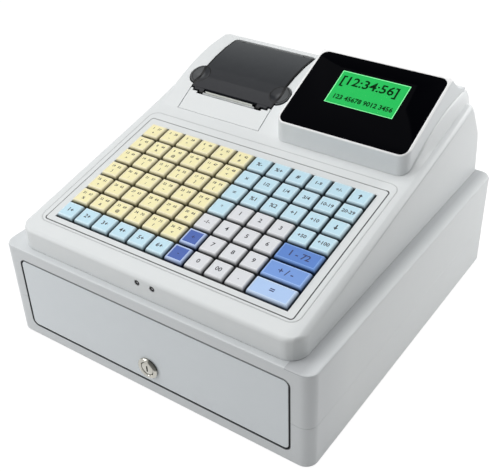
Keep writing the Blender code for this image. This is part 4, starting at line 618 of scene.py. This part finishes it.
# Keys
# Tapered caps with a sunk, coloured label on square stems. Those with joints ride on their own bodies, and the others
# on the case. The print is generic: running numbers, digits, signs and arrows.
SIDE_SHADE_Z, SIDE_SHADE_DEPTH = 0.0029, 0.0031
ink = grained("key ink", (0.008, 0.01, 0.016), roughness=0.5, size=0.0004, depth=0.000004, spread=0.1)
blue_ink = grained("blue ink", (0.008, 0.02, 0.12), roughness=0.5, size=0.0004, depth=0.000004, spread=0.1)
key_finishes = {}
for kind, cap_colour, label_colour in (
    ("cream", (0.94, 0.87, 0.59), (0.93, 0.86, 0.49)),
    ("pale", (0.80, 0.81, 0.83), (0.735, 0.75, 0.78)),
    ("light", (0.66, 0.86, 0.95), (0.55, 0.78, 0.89)),
    ("upper", (0.19, 0.36, 0.76), (0.092, 0.225, 0.62)),
    ("middle", (0.32, 0.50, 0.90), (0.17, 0.33, 0.75)),
    ("lower", (0.60, 0.74, 0.96), (0.44, 0.62, 0.93)),
    ("dark", (0.50, 0.62, 0.90), (0.050, 0.115, 0.43)),
):
    # Painted shade: each cap's sides darken towards their foot, where the gaps between keys lie in shadow.
    shaded_side = tuple(c * (0.22 if kind == "cream" else 0.12) for c in label_colour)
    pair = []
    for part, colour, gloss in (("cap", cap_colour, 0.32), ("label", label_colour, 0.38)):
        finish, shader, place = plain_finish(f"{kind} key {part}", colour, gloss, Specular_IOR_Level=0.35)
        broad = grain(shader, place, size=0.0007, depth=0.00002, roughness=gloss, spread=0.14)[1]
        level = tilted(place, PANEL, PANEL_TILT).axes()["Z"]
        cap_side_shade = ((SIDE_SHADE_Z - level) / SIDE_SHADE_DEPTH).held()
        body = shade(place, colour, tuple(min(1, c * 1.05) for c in colour), broad)
        feed(shader, "Base Color", shade(place, body, shaded_side, cap_side_shade))
        pair.append(finish)
    key_finishes[kind] = pair

# Each step of a cap's top goes inward and up by these; the last two sink the label's face.
CAP_STEPS = ((0.0004, 0.0016), (0.0005, 0.0012), (0.0006, 0.0004), (0.0006, 0), (0.0003, -0.0002), (0.0005, 0))
CAP_SHOULDER = CAP_TOP - 0.0032
LABEL_TOP = CAP_SHOULDER + sum(rise for inward, rise in CAP_STEPS)
LABEL_INSET = 0.0023
PRINT_HALF = 0.00004
NUMBER_SIZE, MARK_SIZE, SHORT_SIGN_SIZE, LONG_SIGN_SIZE, WIDE_KEY_SIZE = 0.0038, 0.0042, 0.0062, 0.0054, 0.0086
NUMBER_X, NUMBER_S = 0.0034, 0.0032
MARKED_KEYS = 36


def top_face(piece):
    """Selects only the highest level face of a piece in edit mode."""
    mesh = bmesh.from_edit_mesh(piece.data)
    mesh.faces.ensure_lookup_table()
    for face in mesh.faces:
        face.select_set(False)
    flat = [face for face in mesh.faces if face.normal.z > 0.99]
    max(flat, key=lambda face: face.calc_center_median().z - face.calc_area()).select_set(True)
    bmesh.update_edit_mesh(piece.data)


def cap_model(span):
    """One cap with its stem, the middle of its base over the origin, heights as on the slope."""
    across = CAP / 2 + (span - 1) * PITCH_X / 2
    cap = block((-across, -CAP / 2, CAP_LOW), (across, CAP / 2, CAP_SHOULDER))
    only(cap)
    bpy.ops.object.mode_set(mode="EDIT")
    bpy.ops.mesh.select_mode(type="FACE")
    top_face(cap)
    for inward, rise in CAP_STEPS:
        bpy.ops.mesh.inset(thickness=inward, depth=0)
        bpy.ops.transform.translate(value=(0, 0, rise))
    bpy.ops.object.mode_set(mode="OBJECT")
    break_edges(cap, 0.0005, 2, 50)
    bpy.ops.object.shade_smooth_by_angle(angle=math.radians(30))
    stem = block((-STEM / 2, -STEM / 2, STEM_END), (STEM / 2, STEM / 2, CAP_LOW))
    only(cap)
    stem.select_set(True)
    bpy.ops.object.join()
    for face in cap.data.polygons:
        within = abs(face.center.y) < CAP / 2 - LABEL_INSET and abs(face.center.x) < across - LABEL_INSET
        face.material_index = int(face.normal.z > 0.9 and within and face.center.z > CAP_LOW + 0.0005)
    return cap


def lettered(text, size, x, s, weight=0.02):
    """Print on a cap: a text made a mesh, a few hundredths of a millimetre thick, half sunk in the label."""
    bpy.ops.object.select_all(action="DESELECT")
    bpy.ops.object.text_add()
    legend = bpy.context.object
    legend.data.body = text
    legend.data.size = size
    legend.data.align_x = "CENTER"
    legend.data.align_y = "CENTER"
    legend.data.resolution_u = 2
    legend.data.extrude = PRINT_HALF
    legend.data.offset = size * weight
    only(legend)
    bpy.ops.object.convert(target="MESH")
    legend = bpy.context.object
    legend.data.transform(Matrix.Translation((x, s, LABEL_TOP)))
    return legend


def arrow(way):
    """A plain arrow up or down the slope."""
    line = [(-0.0006, -0.0030), (0.0006, -0.0030), (0.0006, 0.0003), (0.0021, 0.0003), (0, 0.0030)]
    line += [(-0.0021, 0.0003), (-0.0006, 0.0003)]
    mesh = bpy.data.meshes.new("arrow")
    mesh.from_pydata([(x, y * way, LABEL_TOP - PRINT_HALF) for x, y in line], [], [list(range(7))[::way]])
    mark = bpy.data.objects.new("arrow", mesh)
    scene.collection.objects.link(mark)
    only(mark)
    bpy.ops.object.mode_set(mode="EDIT")
    bpy.ops.mesh.select_all(action="SELECT")
    bpy.ops.mesh.extrude_region_move(TRANSFORM_OT_translate={"value": (0, 0, 2 * PRINT_HALF)})
    bpy.ops.mesh.select_all(action="SELECT")
    bpy.ops.mesh.normals_make_consistent(inside=False)
    bpy.ops.object.mode_set(mode="OBJECT")
    return mark


SIGNS = {
    (6, 0): "%-", (7, 0): "%+", (8, 0): "#", (9, 0): "1-9", (10, 0): "+/-", (6, 1): "x", (7, 1): "1/2",
    (8, 1): "1/4", (9, 1): "3/4", (10, 1): "10-19", (11, 1): "20-29", (6, 2): "=", (7, 2): "%1", (8, 2): "%2",
    (9, 2): "+1", (10, 2): "+10", (6, 3): "*", (10, 3): "+50", (11, 3): "+100", (6, 4): "-1-", (6, 5): "+",
    (6, 6): "-", (7, 3): "1", (8, 3): "2", (9, 3): "3", (7, 4): "4", (8, 4): "5", (9, 4): "6", (7, 5): "7",
    (8, 5): "8", (9, 5): "9", (7, 6): "0", (8, 6): "00", (9, 6): ".", (0, 6): "1+", (1, 6): "2+", (2, 6): "3+",
    (3, 6): "4+", (4, 6): "5+", (5, 6): "6+", (10, 4): "1 - 72", (10, 5): "+ / -", (10, 6): "=",
}
MARKS = "+-*/=#%&@!?<>()[]{}:;~^|+-*/=#%&@!?<"
SPRUNG = {
    (7, 3): "key_1", (8, 3): "key_2", (9, 3): "key_3", (7, 4): "key_4", (8, 4): "key_5", (9, 4): "key_6",
    (7, 5): "key_7", (8, 5): "key_8", (9, 5): "key_9", (7, 6): "key_0", (8, 6): "key_00", (9, 6): "key_point",
    (10, 4): "key_wide_upper", (10, 5): "key_wide_middle", (10, 6): "key_wide_lower", (6, 5): "key_dark_upper",
    (6, 6): "key_dark_lower", (11, 0): "key_up", (11, 2): "key_down",
}


def key_kind(column, row):
    """Which of the key colours one cap has."""
    if (column, row) in wide_keys:
        return {4: "upper", 5: "middle", 6: "lower"}[row]
    if column == 6 and row > 4:
        return "dark"
    if column < 6:
        return "cream" if row < 6 else "light"
    digits = column in (7, 8, 9) and row > 2
    return "pale" if digits or (column, row) == (6, 4) else "light"


def key_print(column, row):
    """The marks on one cap, as small meshes."""
    if (column, row) in ((11, 0), (11, 2)):
        return [arrow(1 if row == 0 else -1)]
    if column < 6 and row < 6:
        number = row * 6 + column + 1
        return [
            lettered(str(number), NUMBER_SIZE, -NUMBER_X, NUMBER_S),
            lettered(str(number + MARKED_KEYS), NUMBER_SIZE, NUMBER_X, NUMBER_S),
            lettered(MARKS[number - 1], MARK_SIZE, 0, -NUMBER_S),
        ]
    sign = SIGNS[(column, row)]
    size = SHORT_SIGN_SIZE if len(sign) < 3 else LONG_SIGN_SIZE
    return [lettered(sign, WIDE_KEY_SIZE if (column, row) in wide_keys else size, 0, 0)]


cap_models = {1: cap_model(1), 2: cap_model(2)}
for column, row, span in key_cells:
    node = SPRUNG.get((column, row))
    kind = key_kind(column, row)
    cap = bpy.data.objects.new("cap", cap_models[span].data.copy())
    scene.collection.objects.link(cap)
    marks = key_print(column, row)
    for finish in (*key_finishes[kind], blue_ink if span == 2 or kind == "dark" else ink):
        cap.data.materials.append(finish)
    for mark in marks:
        mark.data.materials.clear()
        mark.data.materials.append(cap.data.materials[2])
    only(cap)
    for mark in marks:
        mark.select_set(True)
    bpy.ops.object.join()
    x, s = cap_place(column, row, span)
    cap.data.transform(ON_SLOPE @ Matrix.Translation((x, s, 0)))
    cap.name = f"cap_{node[4:]}" if node else f"cap_row_{row + 1}_column_{column + 1}"
    cap.data.name = cap.name
    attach(cap, f"b_{node}" if node else "case")
    if node:
        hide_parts(node)
for model in cap_models.values():
    bpy.data.objects.remove(model)

# Printer
# A dark frame hangs in the console and carries the print head, the tear bar and the paper roll. A smoked cover turns
# on a pin at its rear and holds the platen, and a pale plate closes the top in front of the paper slot.
PRINTER_X = -0.069
LAYER_WAVE = 16000.0
EAR_Y, EAR_OUT = 0.0735, 0.0475
BOWL_RADIUS, BOWL_DEPTH, BOWL_STEPS = 0.0102, 0.0023, 14
BOWL_SHINE, BOWL_RIM, BOWL_RIM_WIDTH = 0.0055, 0.0097, 0.0012
SHEEN_START_Y, SHEEN_DEPTH = 0.06, 0.075
EAR_TIP, EAR_TIP_WIDTH = 0.0492, 0.001
PROBE = 0.004
moulding("printer_frame", "printer_bucket", "case", dark_moulding, "dark_plastic", radius=0.0003)
ceramic = grained(
    "head ceramic", (0.60, 0.61, 0.58), roughness=0.28, size=0.0004, depth=0.000004, spread=0.1,
    shades=((0.56, 0.57, 0.54), (0.66, 0.67, 0.64)),
)
moulding("thermal_head", "print_head", "case", ceramic, "head_ceramic", radius=0.0002)
moulding("tear_bar", "tear_edge", "case", plated_steel, "steel", radius=0)
platen_rubber = grained(
    "platen rubber", (0.03, 0.03, 0.032), roughness=0.75, size=0.0004, depth=0.00003, spread=0.2,
    shades=((0.025, 0.025, 0.027), (0.042, 0.042, 0.045)), fine=True,
)
moulding("platen_roller", "platen", "platen", platen_rubber, "platen_rubber", radius=0.0002, smooth=60)
thermal_paper = grained(
    "thermal paper", (0.80, 0.82, 0.77), roughness=0.75, size=0.0005, depth=0.00001, spread=0.15,
    shades=((0.77, 0.79, 0.74), (0.83, 0.85, 0.80)),
)
moulding("paper_web", "paper_strip", "case", thermal_paper, "paper", radius=0, smooth=60)
wound_paper, shader, place = plain_finish("wound paper", (0.80, 0.82, 0.77), 0.75)
low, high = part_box("paper_roll")
axle = (low + high) / 2
apart = place.axes()
outward = distance(apart["Y"] - axle[1], apart["Z"] - axle[2])
layers = place.work("SINE", outward * LAYER_WAVE) * 0.5 + 0.5
feed(shader, "Base Color", shade(place, (0.66, 0.68, 0.63), (0.83, 0.85, 0.80), layers))
feed(shader, "Normal", place.node("ShaderNodeBump", inputs={"Strength": 0.3, "Distance": 0.00003, "Height": layers}))
moulding("paper_roll", "paper_coil", "roll", wound_paper, "paper", radius=0.0004, smooth=50)
housing_plastic, shader, place, pale = pale_plastic("pale housing plastic")
feed(shader, "Base Color", pale)
moulding("printer_front_plate", "printer_fill_plate", "case", housing_plastic, "housing", radius=0.0003)
smoked, shader, place = plain_finish("smoked cover plastic", (0.02, 0.022, 0.024), 0.24, Specular_IOR_Level=0.13)
broad = grain(shader, place, size=0.0008, depth=0.000008, roughness=0.24, spread=0.05)[1]
apart = place.axes()
# Painted sheen: the smoked colour lightens towards the rear.
sheen_towards_rear = ((apart["Y"] - SHEEN_START_Y) / SHEEN_DEPTH).held()
smoke_and_sheen = shade(place, (0.011, 0.012, 0.016), (0.058, 0.063, 0.067), sheen_towards_rear * 0.9 + broad * 0.1)
sideways = abs(apart["X"] - PRINTER_X)
ear_tip = ((sideways - EAR_TIP) / EAR_TIP_WIDTH).held()
smoke_and_sheen = shade(place, smoke_and_sheen, (0.10, 0.105, 0.108), ear_tip * 0.8)
# Painted highlight: a lighter patch in the middle of each finger bowl.
around = distance(abs(sideways - EAR_OUT), apart["Y"] - EAR_Y)
smoke_and_sheen = shade(place, smoke_and_sheen, (0.13, 0.135, 0.14), (0.9 - around / BOWL_SHINE).at_least(0.0))
# Painted shade: a dark line along the cover's edges and a dark ring round each finger bowl.
edge_shade = seam(
    place, "XY", middle=(PRINTER_X, 0.097), half=(0.0482, 0.0433), corner=0.001, width=0.0020, strength=1.6,
)
bowl_rim_shade = 0.9 - abs(around - BOWL_RIM) / BOWL_RIM_WIDTH
feed(shader, "Base Color", shade(place, smoke_and_sheen, (0.002, 0.002, 0.002), edge_shade.at_least(bowl_rim_shade)))
cover = moulding("printer_cover", "smoked_cover", "cover", smoked, "smoked_plastic", radius=0)


def top_height(y):
    """The height of the smoked cover's top, off its flanks, at one place from front to rear."""
    return cover_shape.ray_cast(Vector((PRINTER_X, y, 1)), Vector((0, 0, -1)))[1].z


cover_shape = bpy.data.objects.new("cover_shape", cover.data.copy())
scene.collection.objects.link(cover_shape)
bpy.context.view_layer.update()
lean = math.atan2(top_height(EAR_Y + PROBE) - top_height(EAR_Y - PROBE), 2 * PROBE)
dishes = []
for side in (-1, 1):
    shares = [step / BOWL_STEPS for step in range(BOWL_STEPS + 1)]
    bowl = [(BOWL_RADIUS * share, -BOWL_DEPTH * (1 - share ** 2)) for share in shares]
    bowl += [(BOWL_RADIUS + 0.001, 0.0012), (BOWL_RADIUS + 0.001, 0.006), (0, 0.006)]
    dish = turned("dish", bowl, (0, 0, 0))
    spot = Matrix.Translation((PRINTER_X + side * EAR_OUT, EAR_Y, top_height(EAR_Y)))
    dish.data.transform(spot @ Matrix.Rotation(math.pi / 2 + lean, 4, "X"))
    dishes.append(dish)
carve(cover, *dishes)
rounded(cover, 0.0003, 2, 40)
bpy.data.objects.remove(cover_shape)

# Display
# A pale housing on the tier holds a black-backed glass with a clear window, and the green module lies under it.
GLASS_TILT = math.radians(24)
ON_GLASS = Matrix.Translation((0.068325, 0.07295, 0.2011)) @ Matrix.Rotation(GLASS_TILT, 4, "X")
WINDOW_LOW, WINDOW_HIGH = (-0.0340, -0.0121), (0.0360, 0.0283)
SCREEN_TOP, SCREEN_LOW = -0.0004, -0.0021
LIP_LOW, LIP_WIDTH = 0.0016, 0.0006
pod_plastic, shader, place, pale = pale_plastic(
    "display housing plastic", dark=(0.735, 0.765, 0.778), light=(0.765, 0.79, 0.80),
)
# Painted highlight: the housing's lip round the glass is painted near white.
level = tilted(place, ON_GLASS.translation, GLASS_TILT).axes()["Z"]
lip = ((level + LIP_LOW) / LIP_WIDTH).held()
feed(shader, "Base Color", shade(place, pale, (0.95, 0.95, 0.95), lip))
moulding("display_housing", "display_pod", "case", pod_plastic, "housing", radius=0.0006, angle=40, smooth=40)
black_glass, shader, place = plain_finish("black-backed glass", (0.0004, 0.0005, 0.0014), 0.05, IOR=1.05)
grain(shader, place, size=0.004, depth=0.000002, roughness=0.06, spread=0.03)
glass = moulding("display_glass", "display_pane", "case", black_glass, "black_glass", radius=0.0003)


def at_window(margin, low, high):
    """A block on the display's slope that keeps a margin inside the window, between two heights."""
    (x0, s0), (x1, s1) = WINDOW_LOW, WINDOW_HIGH
    piece = block((x0 + margin, s0 + margin, low), (x1 - margin, s1 - margin, high))
    piece.data.transform(ON_GLASS)
    return piece


carve(glass, at_window(0, -0.004, 0.004))
clear_pane = grained(
    "clear window", (0.02, 0.02, 0.02), roughness=0.05, size=0.004, depth=0.000002, spread=0.02, IOR=1.05, Alpha=0.05,
)
fit(at_window(0.00005, -0.0003, -0.0001), "display_window", "case", clear_pane, "black_glass")
module_black = grained(
    "display module frame", (0.02, 0.02, 0.022), roughness=0.5, size=0.0006, depth=0.00002, spread=0.15,
)
moulding("lcd_module", "display_module", "case", module_black, "green_screen", radius=0.0003)
for name, title, level, tint, margin, top in (
    ("display_screen", "green screen", 0.44, (0.025, 1.0, 0.19), 0.0011, SCREEN_TOP),
    ("display_screen_edge", "screen edge", 0.9, (0.27, 1.0, 0.42), 0.00005, SCREEN_TOP - 0.0001),
):
    green, shader, place = plain_finish(title, tuple(c * level for c in tint), 0.45, Specular_IOR_Level=0.1)
    broad = grain(shader, place, size=0.0012, depth=0.000003, roughness=0.45, spread=0.1)[1]
    dark, light = ([c * level * part for c in tint] for part in (0.92, 1.08))
    feed(shader, "Base Color", shade(place, dark, light, broad))
    shader.inputs["Emission Color"].default_value = (*tint, 1)
    shader.inputs["Emission Strength"].default_value = level * 0.5
    fit(at_window(margin, SCREEN_LOW, top), name, "case", green, "green_screen")
screen_ink = grained(
    "screen characters", (0.0005, 0.03, 0.004), roughness=0.4, size=0.0004, depth=0.000002, spread=0.1,
    Specular_IOR_Level=0.02,
)
shown = []
for text, wide, tall, x, s, weight in (
    ("[12:34:56]", 0.0578, 0.0135, -0.001, 0.0162, 0.018),
    ("123 45678 9012 3456", 0.060, 0.0058, 0.002, -0.0028, 0.03),
):
    legend = lettered(text, 0.01, 0, 0, weight)
    corners = [vert.co for vert in legend.data.vertices]
    (left, right), (low, high) = ((min(c[i] for c in corners), max(c[i] for c in corners)) for i in (0, 1))
    for vert in legend.data.vertices:
        across = (vert.co.x - (left + right) / 2) / (right - left)
        along = (vert.co.y - (low + high) / 2) / (high - low)
        vert.co = (x + across * wide, s + along * tall, SCREEN_TOP + vert.co.z - LABEL_TOP)
    shown.append(legend)
only(shown[0])
shown[1].select_set(True)
bpy.ops.object.join()
shown[0].data.transform(ON_GLASS)
fit(shown[0], "display_characters", "case", screen_ink, "dark_plastic")
